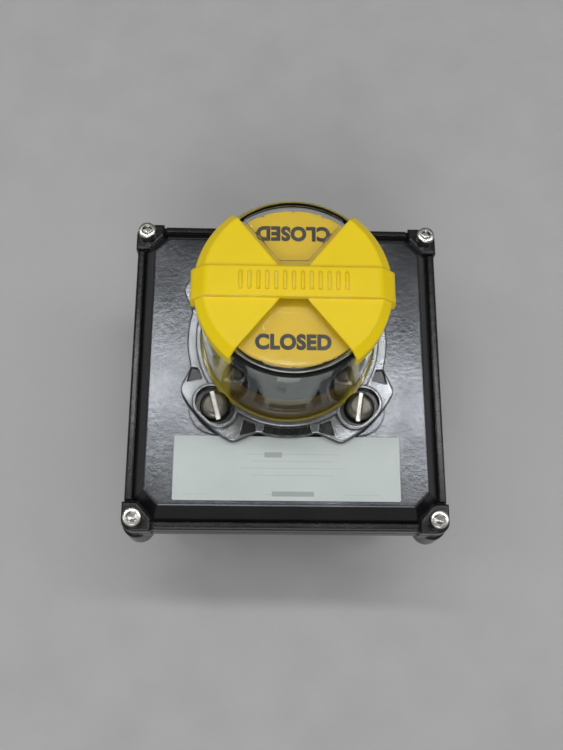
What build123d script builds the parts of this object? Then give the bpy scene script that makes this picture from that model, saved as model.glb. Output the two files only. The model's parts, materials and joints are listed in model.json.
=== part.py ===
"""Valve limit switch box with a rotary beacon, built piece by piece.

Millimetres, +Z up. The origin is on the shaft axis, in the plane of the four feet.
The shaft stands at 0 degrees with the valve closed and at 90 degrees with it open.
"""
from build123d import *
from math import atan2, cos, degrees, radians, sin
import os

os.makedirs("parts", exist_ok=True)

# ---------------------------------------------------------------- driving dimensions
HEAD_PLANE = 76.0        # top of the cover screw heads
CASE_Y = -9.7            # centre of the box, measured from the shaft axis
COVER_W = 118.6          # cover, side to side
COVER_D = 121.4          # cover, front to back
SCREW_X = 111.0          # cover screw spacing
SCREW_Y = 113.6
BODY_W = 105.0           # box walls under the flange
BODY_D = 107.0
WALL = 4.5

FOOT_H = 12.0
FLOOR_T = 6.0
FLOOR_Z = FOOT_H + FLOOR_T
FLANGE_BOTTOM = 59.6
GASKET_Z = 65.4
GASKET_T = 0.8
COVER_Z = GASKET_Z + GASKET_T
RIM_Z = 71.3
LEDGE_Z = 70.2
EAR_Z = 71.8
PLATEAU_Z = 77.0
PLATEAU_W = 103.4        # flat top of the cover
PLATEAU_D = 105.4
PLATEAU_TAPER = 37.0
COVER_T = 4.2
PAD_Z = 77.6             # machined seats under the retaining flange

SHAFT_R = 4.76
SPINDLE_R = 4.0
RUNNING = 0.04           # radial clearance of a shaft in its bush

FLANGE_Z = 77.65         # underside of the retaining flange
FLANGE_T = 3.0
FLANGE_LIP_Z = 82.4
FLANGE_R = 37.6
FLANGE_BORE_R = 32.6
LOBE_R = 44.6
SLOT_R = 37.5            # circle of the four flange screws
SLOT_SWING = 3.2         # half swing of a flange slot, degrees
SEAT_HALF = 5.85         # half width of the recess that takes a screw head

DOME_FOOT_R = 34.0
DOME_R = 31.6
DOME_TOP_R = 30.9
DOME_TOP_Z = 132.4
DOME_WALL = 2.2
MASK_R = 28.6
MASK_WALL = 1.4
WINDOW_Z = 98.0
CAP_R = 32.4
CAP_TOP_Z = 134.0
CAP_BOTTOM_Z = 125.2
CAP_WALL = 1.1
CAP_WINDOW = 39.0        # half angle of a cap window
STRAP_W = 10.6
STRAP_Z = 135.0
STRAP_R = 33.4
DISC_R = 27.4
DISC_Z = 129.3

CAM_Z = (32.0, 48.0)     # mid height of the closed cam and of the open cam
CAM_T = 6.0
CAM_LOW_R = 14.0
LEVER_SWING = 7.5        # lever travel while the shaft turns 90 degrees
ROLLER_R = 2.8
ROLLER_GAP = 0.1
PIVOT = (22.0, -13.5)
SWITCH_FACE_X = 24.0
SWITCH_H = 15.9
SWITCH_L = 27.8
SWITCH_T = 10.3
SWITCH_Y = -2.6          # mid length of a switch body
PLUNGER_Y = -8.0


def case_plane(height):
    """Plane on the centre line of the box."""
    return Plane((0, CASE_Y, height))


def polar(radius, angle):
    return (radius * cos(radians(angle)), radius * sin(radians(angle)))


def ear_outline():
    """One rounded corner ear, drawn for the +X +Y corner of the box."""
    half_x = SCREW_X / 2 + 4.5
    half_y = SCREW_Y / 2 + 4.6
    reach = 10.8
    with BuildSketch(mode=Mode.PRIVATE) as ear:
        with BuildLine():
            Polyline(
                (half_x, half_y - reach),
                (half_x, half_y),
                (half_x - reach, half_y),
                (half_x - reach, half_y - 5.0),
                (half_x - 5.6, half_y - reach),
                close=True,
            )
        make_face()
        corner = ear.vertices().sort_by(lambda v: v.X + v.Y)[-1]
        fillet(corner, 4.4)
        fillet(ear.vertices().sort_by(lambda v: v.X + v.Y)[:2], 2.2)
    return ear.sketch


def add_ears():
    """Place the ear outline in all four corners of the current sketch."""
    ear = ear_outline()
    for mirror_x in (False, True):
        for mirror_y in (False, True):
            shape = ear
            if mirror_x:
                shape = mirror(shape, about=Plane.YZ, mode=Mode.PRIVATE)
            if mirror_y:
                shape = mirror(shape, about=Plane.XZ, mode=Mode.PRIVATE)
            add(shape)


def cover_screw_places():
    return GridLocations(SCREW_X, SCREW_Y, 2, 2)


def chamfered_plateau(width, depth, leg):
    """Rectangle with its corners cut at 45 degrees."""
    with BuildSketch(mode=Mode.PRIVATE) as face:
        Rectangle(width, depth)
        chamfer(face.vertices(), leg)
    return face.sketch


# ---------------------------------------------------------------- housing
HOUSING_CORNER = 11.0
CAVITY_W = BODY_W - 2 * WALL
CAVITY_D = BODY_D - 2 * WALL
LUG_R = 5.4
LUG_Z = 46.0
COVER_THREAD_R = 2.1
CONDUIT_R = 12.1         # tapped 3/4 inch conduit entry
CONDUIT_X = 24.0
CONDUIT_Z = 39.0
CONDUIT_PAD_R = 18.0
CONDUIT_PAD_T = 2.5
FOOT_X = 80.0
FOOT_Y = 80.0
FOOT_R = 9.5
FOOT_HOLE_R = 2.6
FOOT_HOLE_DEPTH = 11.0
BOSS_R = 15.0
BUSH_R = 7.0
BACK_WALL_Y = CASE_Y + BODY_D / 2
POST_H = 3.0             # posts on the floor for the bracket and the terminal strip
SMALL_HOLE_R = 1.6
BRACKET_PLACES = ((32.5, -21.6), (32.5, 16.4))
STRIP_PLACES = ((-32.0, -47.0), (32.0, -47.0))
GROUND_PLACE = (-38.0, 0.0)
GROUND_R = 2.0

with BuildPart() as housing:
    with BuildSketch(case_plane(FOOT_H)):
        RectangleRounded(BODY_W, BODY_D, HOUSING_CORNER)
    extrude(amount=FLANGE_BOTTOM - FOOT_H)
    fillet(housing.faces().sort_by(Axis.Z)[0].edges(), 2.5)
    with BuildSketch(case_plane(FLANGE_BOTTOM)):
        RectangleRounded(COVER_W, COVER_D, 6)
        add_ears()
    extrude(amount=GASKET_Z - FLANGE_BOTTOM)
    with BuildSketch(case_plane(LUG_Z)):
        with cover_screw_places():
            Circle(LUG_R)
    extrude(amount=FLANGE_BOTTOM - LUG_Z)
    with BuildSketch(case_plane(0)):
        with GridLocations(FOOT_X, FOOT_Y, 2, 2):
            Circle(FOOT_R)
    extrude(amount=FOOT_H)
    with BuildSketch(Plane.XY.offset(FOOT_H - 3)):
        Circle(BOSS_R)
    extrude(amount=3)
    with BuildSketch(Plane((0, BACK_WALL_Y, CONDUIT_Z), x_dir=(1, 0, 0), z_dir=(0, 1, 0))):
        with Locations((-CONDUIT_X, 0), (CONDUIT_X, 0)):
            Circle(CONDUIT_PAD_R)
    extrude(amount=CONDUIT_PAD_T)
    with BuildSketch(case_plane(FLOOR_Z)):
        RectangleRounded(CAVITY_W, CAVITY_D, HOUSING_CORNER - WALL)
    extrude(amount=GASKET_Z - FLOOR_Z, mode=Mode.SUBTRACT)
    with BuildSketch(Plane.XY.offset(FLOOR_Z)):
        Circle(BUSH_R + 4)
    extrude(amount=4)
    with BuildSketch(Plane.XY.offset(FLOOR_Z)):
        with Locations(*BRACKET_PLACES, *STRIP_PLACES):
            Circle(3.4)
    extrude(amount=POST_H)
    with BuildSketch(Plane.XY.offset(FLOOR_Z + POST_H)):
        with Locations(*BRACKET_PLACES, *STRIP_PLACES):
            Circle(SMALL_HOLE_R)
    extrude(amount=-6, mode=Mode.SUBTRACT)
    with Locations(GROUND_PLACE + (FLOOR_Z,)):
        Hole(GROUND_R, depth=4.5)
    with Locations((0, 0, FLOOR_Z + 4)):
        Hole(BUSH_R, depth=FLOOR_Z + 4)
    with BuildSketch(Plane((0, BACK_WALL_Y + CONDUIT_PAD_T, CONDUIT_Z),
                           x_dir=(1, 0, 0), z_dir=(0, 1, 0))):
        with Locations((-CONDUIT_X, 0), (CONDUIT_X, 0)):
            Circle(CONDUIT_R)
    extrude(amount=-(WALL + CONDUIT_PAD_T + 1), mode=Mode.SUBTRACT)
    with BuildSketch(case_plane(GASKET_Z)):
        with cover_screw_places():
            Circle(COVER_THREAD_R)
    extrude(amount=-(GASKET_Z - LUG_Z - 3), mode=Mode.SUBTRACT)
    with BuildSketch(case_plane(0)):
        with GridLocations(FOOT_X, FOOT_Y, 2, 2):
            Circle(FOOT_HOLE_R)
    extrude(amount=FOOT_HOLE_DEPTH, mode=Mode.SUBTRACT)
housing.part.label = "housing"
export_step(housing.part, "parts/housing.step")

# ---------------------------------------------------------------- cover
RIM_W = 2.5
PLATEAU_RISE = PLATEAU_Z - LEDGE_Z
COVER_BOSS_R = 9.0
COVER_BOSS_Z = 86.0
SPINDLE_BUSH_R = 6.5
GASKET_GROOVE = (30.8, 33.2)
GASKET_GROOVE_DEPTH = 1.3
CORNER_LEG = 5.5
NOTCH_W = 0.8

with BuildPart() as ear_stock:
    with BuildSketch(case_plane(COVER_Z)):
        add_ears()
    extrude(amount=EAR_Z - COVER_Z)
    fillet(ear_stock.faces().filter_by(Plane.XY).group_by(Axis.Z)[-1].edges(), 0.9)

with BuildPart() as cover:
    with BuildSketch(case_plane(COVER_Z)):
        RectangleRounded(COVER_W, COVER_D, 6)
    extrude(amount=RIM_Z - COVER_Z)
    fillet(cover.faces().sort_by(Axis.Z)[-1].edges(), 1.1)
    with BuildSketch(case_plane(RIM_Z)):
        RectangleRounded(COVER_W - 2 * RIM_W, COVER_D - 2 * RIM_W, 4)
    extrude(amount=LEDGE_Z - RIM_Z, mode=Mode.SUBTRACT)
    with BuildSketch(case_plane(LEDGE_Z)):
        spread = 2 * PLATEAU_RISE * 0.7536     # tangent of the plateau's taper
        add(chamfered_plateau(PLATEAU_W + spread, PLATEAU_D + spread, CORNER_LEG + 2.9))
    extrude(amount=PLATEAU_RISE, taper=PLATEAU_TAPER)
    fillet(cover.faces().sort_by(Axis.Z)[-1].edges(), 1.2)
    add(ear_stock.part)
    with BuildSketch(Plane.XY.offset(PLATEAU_Z - 1)):
        with PolarLocations(SLOT_R, 4, start_angle=45):
            Circle(9.8)
        Circle(36.2)
    extrude(amount=PAD_Z - PLATEAU_Z + 1)
    with BuildSketch(Plane.XY.offset(PAD_Z)):
        Circle(COVER_BOSS_R)
    extrude(amount=COVER_BOSS_Z - PAD_Z)
    with BuildSketch(case_plane(COVER_Z)):
        RectangleRounded(CAVITY_W, CAVITY_D, HOUSING_CORNER - WALL)
    extrude(amount=PLATEAU_Z - COVER_T - COVER_Z, taper=20, mode=Mode.SUBTRACT)
    with BuildSketch(Plane.XY.offset(PLATEAU_Z - COVER_T)):
        Circle(COVER_BOSS_R)
        with PolarLocations(SLOT_R, 4, start_angle=45):
            Circle(6)
    extrude(amount=-4)
    with BuildSketch(Plane.XY.offset(PAD_Z)):
        Circle(GASKET_GROOVE[1])
        Circle(GASKET_GROOVE[0], mode=Mode.SUBTRACT)
    extrude(amount=-GASKET_GROOVE_DEPTH, mode=Mode.SUBTRACT)
    with Locations((0, 0, COVER_BOSS_Z)):
        Hole(SPINDLE_BUSH_R, depth=COVER_BOSS_Z)
    with BuildSketch(Plane.XY.offset(PAD_Z)):
        with PolarLocations(SLOT_R, 4, start_angle=45):
            Circle(3.2)
    extrude(amount=-7.5, mode=Mode.SUBTRACT)
    with BuildSketch(case_plane(EAR_Z)):
        with cover_screw_places():
            Circle(2.3)
    extrude(amount=-20, mode=Mode.SUBTRACT)
    with BuildSketch(case_plane(EAR_Z)):
        with GridLocations(SCREW_X - 13.6, COVER_D, 2, 2):
            Rectangle(NOTCH_W, 6)
        with GridLocations(COVER_W, SCREW_Y - 13.4, 2, 2):
            Rectangle(6, NOTCH_W)
    extrude(amount=-2.2, mode=Mode.SUBTRACT)
cover.part.label = "cover"
export_step(cover.part, "parts/cover.step")

with BuildPart() as cover_gasket:
    with BuildSketch(case_plane(GASKET_Z)):
        RectangleRounded(COVER_W - 3, COVER_D - 3, 6)
        RectangleRounded(CAVITY_W, CAVITY_D, HOUSING_CORNER - WALL, mode=Mode.SUBTRACT)
        with cover_screw_places():
            Circle(4.6, mode=Mode.SUBTRACT)
    extrude(amount=GASKET_T)
cover_gasket.part.label = "cover_gasket"
export_step(cover_gasket.part, "parts/cover_gasket.step")

CAP_HEAD_R = 3.45
CAP_HEAD_H = HEAD_PLANE - EAR_Z
with BuildPart() as cover_screws:
    with BuildSketch(case_plane(EAR_Z)):
        with cover_screw_places():
            Circle(CAP_HEAD_R)
    extrude(amount=CAP_HEAD_H)
    fillet(cover_screws.faces().filter_by(Plane.XY).group_by(Axis.Z)[-1].edges(), 0.5)
    with BuildSketch(case_plane(EAR_Z)):
        with cover_screw_places():
            Circle(2.0)
    extrude(amount=-22)
    with BuildSketch(case_plane(HEAD_PLANE)):
        with cover_screw_places():
            RegularPolygon(1.79, 6, major_radius=False)
    extrude(amount=-2.2, mode=Mode.SUBTRACT)
cover_screws.part.label = "cover_screws"
export_step(cover_screws.part, "parts/cover_screws.step")

with BuildPart() as nameplate:
    with BuildSketch(Plane((0, -48.8, PLATEAU_Z + 0.02))):
        RectangleRounded(82.6, 23.8, 0.6)
    extrude(amount=0.5)
nameplate.part.label = "nameplate"
export_step(nameplate.part, "parts/nameplate.step")

# ---------------------------------------------------------------- beacon
def lobe_outline():
    """Flange plate: a round ring with four rounded lobes on the diagonals."""
    with BuildSketch(mode=Mode.PRIVATE) as plate:
        Circle(FLANGE_R)
        for middle in (45, 135, 225, 315):
            with BuildLine():
                a = polar(FLANGE_R - 1, middle - 30)
                b = polar(LOBE_R, middle - 18.5)
                c = polar(LOBE_R, middle + 18.5)
                d = polar(FLANGE_R - 1, middle + 30)
                Line(a, b)
                ThreePointArc(b, polar(LOBE_R, middle), c)
                Line(c, d)
                Line(d, (0, 0))
                Line((0, 0), a)
            make_face()
        tips = plate.vertices().filter_by(lambda v: (v.X**2 + v.Y**2) ** 0.5 > LOBE_R - 0.1)
        fillet(tips, 4.0)
        roots = plate.vertices().filter_by(
            lambda v: abs((v.X**2 + v.Y**2) ** 0.5 - FLANGE_R) < 0.05)
        fillet(roots, 5.0)
    return plate.sketch


def slot_band(half_width, swing):
    """Four curved slots on the flange screw circle."""
    with BuildSketch(mode=Mode.PRIVATE) as slots:
        for middle in (45, 135, 225, 315):
            arc = CenterArc((0, 0), SLOT_R, middle - swing, 2 * swing)
            SlotArc(arc, 2 * half_width)
    return slots.sketch


def lobe_pockets():
    """Cast hollows between each lobe's screw rim and the ring."""
    with BuildSketch(mode=Mode.PRIVATE) as hollows:
        for middle in (45, 135, 225, 315):
            for side in (-1, 1):
                with BuildLine():
                    Polyline(
                        polar(35.2, middle + side * 18),
                        polar(41.2, middle + side * 20),
                        polar(37.6, middle + side * 27.5),
                        polar(35.2, middle + side * 25.5),
                        close=True,
                    )
                make_face()
        fillet(hollows.vertices(), 0.5)
    return hollows.sketch


FOOT_RECESS = 1.9        # room under the flange for the feet of dome and mask
SEAT_DEPTH = 2.2
POCKET_DEPTH = 1.5
BAND_HALF = 14.0         # half angle of the lowered band between two lobes
BAND_DEPTH = 0.5

with BuildPart() as slot_rims:
    with BuildSketch(Plane.XY.offset(FLANGE_Z)):
        add(slot_band(SEAT_HALF + 1.15, SLOT_SWING))
    extrude(amount=FLANGE_LIP_Z - FLANGE_Z)
    fillet(slot_rims.faces().filter_by(Plane.XY).group_by(Axis.Z)[-1].edges(), 0.5)

with BuildPart() as inner_lip:
    with BuildSketch(Plane.XY.offset(FLANGE_Z)):
        Circle(FLANGE_BORE_R + 1.7)
    extrude(amount=FLANGE_LIP_Z - FLANGE_Z - 0.2)
    fillet(inner_lip.faces().filter_by(Plane.XY).group_by(Axis.Z)[-1].edges(), 0.6)

with BuildPart() as retaining_flange:
    with BuildSketch(Plane.XY.offset(FLANGE_Z)):
        add(lobe_outline())
    extrude(amount=FLANGE_T)
    fillet(retaining_flange.faces().sort_by(Axis.Z)[-1].edges(), 0.7)
    with BuildSketch(Plane.XY.offset(FLANGE_Z + FLANGE_T)):
        add(lobe_pockets())
    extrude(amount=-POCKET_DEPTH, mode=Mode.SUBTRACT)
    with BuildSketch(Plane.XY.offset(FLANGE_Z + FLANGE_T)):
        for middle in (90, 270):
            with BuildLine():
                Polyline((0, 0), polar(50, middle - BAND_HALF), polar(50, middle + BAND_HALF), close=True)
            make_face()
    extrude(amount=-BAND_DEPTH, mode=Mode.SUBTRACT)
    add(slot_rims.part)
    add(inner_lip.part)
    with BuildSketch(Plane.XY.offset(FLANGE_Z)):
        Circle(FLANGE_BORE_R)
    extrude(amount=10, mode=Mode.SUBTRACT)
    with BuildSketch(Plane.XY.offset(FLANGE_Z)):
        Circle(DOME_FOOT_R + 0.2)
    extrude(amount=FOOT_RECESS, mode=Mode.SUBTRACT)
    with BuildSketch(Plane.XY.offset(FLANGE_LIP_Z)):
        add(slot_band(SEAT_HALF, SLOT_SWING))
    extrude(amount=-SEAT_DEPTH, mode=Mode.SUBTRACT)
    with BuildSketch(Plane.XY.offset(FLANGE_LIP_Z)):
        add(slot_band(3.2, SLOT_SWING))
    extrude(amount=-10, mode=Mode.SUBTRACT)
retaining_flange.part.label = "retaining_flange"
export_step(retaining_flange.part, "parts/retaining_flange.step")

def window_sector(radius, inset, start):
    """Outline of the two cap windows, fore and aft, pulled in from their edges."""
    apex = inset / sin(radians(CAP_WINDOW))
    with BuildSketch(mode=Mode.PRIVATE) as sector:
        for middle in (90, 270):
            tip = Vector(*polar(apex, middle))
            first = tip + Vector(*polar(60, middle - CAP_WINDOW))
            last = tip + Vector(*polar(60, middle + CAP_WINDOW))
            with BuildLine():
                Polyline(tip, first, last, close=True)
            make_face()
        Circle(radius, mode=Mode.INTERSECT)
        Rectangle(2 * radius, 2 * start, mode=Mode.SUBTRACT)
        fillet(sector.vertices(), 0.8)
    return sector.sketch


PAD_R = 28.0             # clear pads that stand in the cap windows
PAD_INSET = 1.5
PAD_START = 8.2
PAD_RISE = 0.7
MASK_FOOT_Z = FLANGE_Z
MASK_FOOT_T = 0.8
DOME_FOOT_Z = MASK_FOOT_Z + MASK_FOOT_T + 0.05
with BuildPart() as dome:
    with BuildSketch(Plane.XZ):
        with BuildLine():
            Polyline(
                (DOME_FOOT_R, DOME_FOOT_Z),
                (DOME_FOOT_R, DOME_FOOT_Z + 0.9),
                (DOME_R, DOME_FOOT_Z + 0.9),
                (DOME_TOP_R, DOME_TOP_Z),
                (0, DOME_TOP_Z),
                (0, DOME_TOP_Z - DOME_WALL),
                (DOME_TOP_R - DOME_WALL, DOME_TOP_Z - DOME_WALL),
                (DOME_R - DOME_WALL, DOME_FOOT_Z),
                close=True,
            )
        make_face()
    revolve(axis=Axis.Z)
    fillet(dome.edges().filter_by(GeomType.CIRCLE).group_by(Axis.Z)[-1], 2.6)
    rim = dome.edges().filter_by(GeomType.CIRCLE).filter_by(
        lambda e: abs(e.center().Z - DOME_TOP_Z + DOME_WALL) < 0.01)
    fillet(rim, 1.4)
    with BuildSketch(Plane.XY.offset(DOME_TOP_Z)):
        add(window_sector(PAD_R, PAD_INSET, PAD_START))
    extrude(amount=PAD_RISE)
    fillet(dome.faces().sort_by(Axis.Z)[-2:].edges(), 0.25)
dome.part.label = "dome"
export_step(dome.part, "parts/dome.step")

MASK_BASE_R = 29.2
MASK_TOP_Z = 126.0
MASK_WINDOW = 43.0
with BuildPart() as window_mask:
    with BuildSketch(Plane.XZ):
        with BuildLine():
            Polyline(
                (DOME_FOOT_R, MASK_FOOT_Z),
                (DOME_FOOT_R, MASK_FOOT_Z + MASK_FOOT_T),
                (MASK_BASE_R, MASK_FOOT_Z + MASK_FOOT_T),
                (MASK_R - 0.6, MASK_TOP_Z),
                (MASK_R - 0.6 - MASK_WALL, MASK_TOP_Z),
                (MASK_BASE_R - MASK_WALL, MASK_FOOT_Z),
                close=True,
            )
        make_face()
    revolve(axis=Axis.Z)
    with BuildSketch(Plane.XY.offset(WINDOW_Z)):
        for middle in (90, 270):
            with BuildLine():
                edge_a = polar(50, middle - MASK_WINDOW)
                edge_b = polar(50, middle + MASK_WINDOW)
                Polyline((0, 0), edge_a, polar(60, middle), edge_b, close=True)
            make_face()
    extrude(amount=40, mode=Mode.SUBTRACT)
window_mask.part.label = "window_mask"
export_step(window_mask.part, "parts/window_mask.step")

CAP_SHOULDER = 3.1       # bevel round the top of the cap
CAP_ROOF = 1.3
with BuildPart() as cap_room:
    with BuildSketch(Plane.XY.offset(CAP_BOTTOM_Z)):
        Circle(CAP_R - CAP_WALL)
    extrude(amount=CAP_TOP_Z - CAP_ROOF - CAP_BOTTOM_Z)
    chamfer(cap_room.faces().sort_by(Axis.Z)[-1].edges(), CAP_SHOULDER - CAP_WALL)

with BuildPart() as beacon_cap:
    with BuildSketch(Plane.XY.offset(CAP_BOTTOM_Z)):
        Circle(CAP_R)
    extrude(amount=CAP_TOP_Z - CAP_BOTTOM_Z)
    chamfer(beacon_cap.faces().sort_by(Axis.Z)[-1].edges(), CAP_SHOULDER)
    fillet(beacon_cap.edges().group_by(Axis.Z)[1:], 0.8)
    with BuildSketch(Plane.XZ):
        with BuildLine():
            Polyline(
                (-STRAP_R, CAP_BOTTOM_Z),
                (-STRAP_R, 130.6),
                (-28.4, STRAP_Z),
                (28.4, STRAP_Z),
                (STRAP_R, 130.6),
                (STRAP_R, CAP_BOTTOM_Z),
                close=True,
            )
        strap = make_face()
        fillet(strap.vertices().group_by(Axis.Y)[1:], 3.4)
    extrude(amount=STRAP_W / 2, both=True)
    add(cap_room.part, mode=Mode.SUBTRACT)
    with BuildSketch(Plane.XY.offset(CAP_BOTTOM_Z)):
        for middle in (90, 270):
            with BuildLine():
                Polyline((0, 0), polar(50, middle - CAP_WINDOW), polar(60, middle),
                         polar(50, middle + CAP_WINDOW), close=True)
            make_face()
        Rectangle(2 * CAP_R, STRAP_W, mode=Mode.SUBTRACT)
    extrude(amount=20, mode=Mode.SUBTRACT)
beacon_cap.part.label = "beacon_cap"
export_step(beacon_cap.part, "parts/beacon_cap.step")

with BuildPart() as dome_gasket:
    with BuildSketch(Plane.XY.offset(PAD_Z - GASKET_GROOVE_DEPTH)):
        Circle(GASKET_GROOVE[1] - 0.05)
        Circle(GASKET_GROOVE[0] + 0.05, mode=Mode.SUBTRACT)
    extrude(amount=GASKET_GROOVE_DEPTH)
dome_gasket.part.label = "dome_gasket"
export_step(dome_gasket.part, "parts/dome_gasket.step")

HEAD_SEAT_Z = FLANGE_LIP_Z - SEAT_DEPTH + 0.05
ROUND_HEAD_R = 5.6
ROUND_HEAD_H = 3.7
with BuildPart() as flange_screws:
    with BuildSketch(Plane.XY.offset(HEAD_SEAT_Z)):
        with PolarLocations(SLOT_R, 4, start_angle=45):
            Circle(ROUND_HEAD_R)
    extrude(amount=ROUND_HEAD_H)
    fillet(flange_screws.faces().filter_by(Plane.XY).group_by(Axis.Z)[-1].edges(), 2.6)
    with BuildSketch(Plane.XY.offset(HEAD_SEAT_Z)):
        with PolarLocations(SLOT_R, 4, start_angle=45):
            Circle(3.1)
    extrude(amount=-8.5)
    with BuildSketch(Plane.XY.offset(HEAD_SEAT_Z + ROUND_HEAD_H)):
        for turn, middle in ((70, 45), (115, 135), (105, 225), (82, 315)):
            with Locations(Location(polar(SLOT_R, middle) + (0,), turn)):
                Rectangle(13, 1.7)
    extrude(amount=-1.9, mode=Mode.SUBTRACT)
flange_screws.part.label = "flange_screws"
export_step(flange_screws.part, "parts/flange_screws.step")

# ---------------------------------------------------------------- shaft and bushes
SHAFT_BOTTOM = 1.5
SHAFT_TOP = 61.0
DRIVE_R = 4.0            # drive end, below the case
DRIVE_SLOT = 1.6         # width of the slot across its end
TANG_W = 2.3             # tongue under the spindle, in the slot of the shaft
TANG_H = 3.2
PIN_R = 0.9
PIN_Z = CAM_Z[1] + CAM_T / 2 + 2.9
ORING_Z = 15.0
SPINDLE_TOP = DISC_Z - 1.5

with BuildPart() as lower_bush:
    with BuildSketch(Plane.XY.offset(FOOT_H - 3)):
        Circle(BUSH_R)
        Circle(SHAFT_R + RUNNING, mode=Mode.SUBTRACT)
    extrude(amount=FLOOR_Z + 4 - FOOT_H + 3)
    with BuildSketch(Plane.XY.offset(FLOOR_Z + 4)):
        Circle(BUSH_R + 2)
        Circle(SHAFT_R + RUNNING, mode=Mode.SUBTRACT)
    extrude(amount=1.2)
lower_bush.part.label = "lower_bush"
export_step(lower_bush.part, "parts/lower_bush.step")

with BuildPart() as spindle_bush:
    with BuildSketch(Plane.XY.offset(PLATEAU_Z - COVER_T - 4)):
        Circle(SPINDLE_BUSH_R)
        Circle(SPINDLE_R + RUNNING, mode=Mode.SUBTRACT)
    extrude(amount=COVER_BOSS_Z - PLATEAU_Z + COVER_T + 4)
    with BuildSketch(Plane.XY.offset(COVER_BOSS_Z)):
        Circle(COVER_BOSS_R - 0.5)
        Circle(SPINDLE_R + RUNNING, mode=Mode.SUBTRACT)
    extrude(amount=1.0)
spindle_bush.part.label = "spindle_bush"
export_step(spindle_bush.part, "parts/spindle_bush.step")

CLIP_Z = FOOT_H - 4.2
DRIVE_TOP = CLIP_Z - 1.0
with BuildPart() as shaft:
    with BuildSketch(Plane.XY.offset(SHAFT_BOTTOM)):
        Circle(DRIVE_R)
    extrude(amount=DRIVE_TOP - SHAFT_BOTTOM)
    chamfer(shaft.faces().sort_by(Axis.Z)[0].edges(), 0.5)
    with BuildSketch(Plane.XY.offset(DRIVE_TOP)):
        Circle(SHAFT_R)
    extrude(amount=SHAFT_TOP - DRIVE_TOP)
    with BuildSketch(Plane.XY.offset(SHAFT_BOTTOM)):
        Rectangle(12, DRIVE_SLOT)
    extrude(amount=1.2, mode=Mode.SUBTRACT)
    with BuildSketch(Plane.XY.offset(CLIP_Z)):
        Circle(SHAFT_R + 1)
        Circle(SHAFT_R - 0.6, mode=Mode.SUBTRACT)
    extrude(amount=1.0, mode=Mode.SUBTRACT)
    with BuildSketch(Plane.XY.offset(SHAFT_TOP)):
        Rectangle(12, TANG_W + 0.1)
    extrude(amount=-TANG_H, mode=Mode.SUBTRACT)
    with BuildSketch(Plane((0, 0, PIN_Z), x_dir=(0, 1, 0), z_dir=(1, 0, 0))):
        Circle(PIN_R)
    extrude(amount=SHAFT_R + 1, both=True, mode=Mode.SUBTRACT)
    with BuildSketch(Plane.XY.offset(ORING_Z - 1.0)):
        Circle(SHAFT_R + 1)
        Circle(3.0, mode=Mode.SUBTRACT)
    extrude(amount=2.0, mode=Mode.SUBTRACT)
shaft.part.label = "shaft"
export_step(shaft.part, "parts/shaft.step")

with BuildPart() as shaft_clip:
    with BuildSketch(Plane.XY.offset(CLIP_Z + 0.05)):
        Circle(SHAFT_R + 2.2)
        Circle(SHAFT_R - 0.55, mode=Mode.SUBTRACT)
        with Locations((0, -SHAFT_R)):
            Rectangle(4.6, 8, mode=Mode.SUBTRACT)
    extrude(amount=0.9)
shaft_clip.part.label = "shaft_clip"
export_step(shaft_clip.part, "parts/shaft_clip.step")

HUB_R = 8.2
HUB_SPLINES = 20
HUB_BOTTOM = FLOOR_Z + 4 + 1.5
HUB_TOP = CAM_Z[1] + CAM_T / 2 + 4.5
with BuildPart() as cam_hub:
    with BuildSketch(Plane.XY.offset(HUB_BOTTOM)):
        Circle(HUB_R)
        with PolarLocations(HUB_R, HUB_SPLINES):
            Circle(0.55)
        Circle(SHAFT_R + 0.02, mode=Mode.SUBTRACT)
    extrude(amount=HUB_TOP - HUB_BOTTOM)
    with BuildSketch(Plane.XY.offset(HUB_BOTTOM)):
        Circle(HUB_R + 2.2)
        Circle(SHAFT_R + 0.02, mode=Mode.SUBTRACT)
    extrude(amount=CAM_Z[0] - CAM_T / 2 - HUB_BOTTOM)
    with BuildSketch(Plane((0, 0, PIN_Z), x_dir=(0, 1, 0), z_dir=(1, 0, 0))):
        Circle(PIN_R)
    extrude(amount=HUB_R + 2, both=True, mode=Mode.SUBTRACT)
cam_hub.part.label = "cam_hub"
export_step(cam_hub.part, "parts/cam_hub.step")


# ---------------------------------------------------------------- cams and levers
def roller_centre(lever_angle):
    """Roller centre when its lever is turned by an angle from the released place."""
    reach_x = CAM_LOW_R + ROLLER_R + ROLLER_GAP - PIVOT[0]
    reach_y = 1.5 - PIVOT[1]
    turn = radians(lever_angle)
    x = reach_x * cos(turn) - reach_y * sin(turn)
    y = reach_x * sin(turn) + reach_y * cos(turn)
    return (PIVOT[0] + x, PIVOT[1] + y)


def cam_point(shaft_angle, opens):
    """Cam surface point under the roller, in the frame of the cam at rest.

    The open cam lifts its roller as the shaft opens, the closed cam lowers it.
    """
    lift = shaft_angle / 90 if opens else 1 - shaft_angle / 90
    x, y = roller_centre(-LEVER_SWING * lift)
    radius = (x * x + y * y) ** 0.5 - ROLLER_R - ROLLER_GAP
    return polar(radius, degrees(atan2(y, x)) - shaft_angle)


CAM_OVERRUN = 12         # extra cam angle beyond each end of the stroke
CAM_BORE_R = HUB_R + 0.75
for name, height, opens in (("closed_cam", CAM_Z[0], False), ("open_cam", CAM_Z[1], True)):
    with BuildPart() as cam:
        with BuildSketch(Plane.XY.offset(height - CAM_T / 2)):
            with BuildLine():
                first = -CAM_OVERRUN
                last = 90 + CAM_OVERRUN
                points = [cam_point(first + step * (last - first) / 8, opens) for step in range(9)]
                rise = Spline(*points)
                start, end = rise @ 0, rise @ 1
                middle = (start + end) * 0.5
                far = middle * (-13.0 / middle.length)
                ThreePointArc(end, far, start)
            make_face()
            Circle(CAM_BORE_R, mode=Mode.SUBTRACT)
            with PolarLocations(11.2, 3, start_angle=200):
                Circle(0.9, mode=Mode.SUBTRACT)
        extrude(amount=CAM_T)
    cam.part.label = name
    export_step(cam.part, f"parts/{name}.step")

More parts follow.
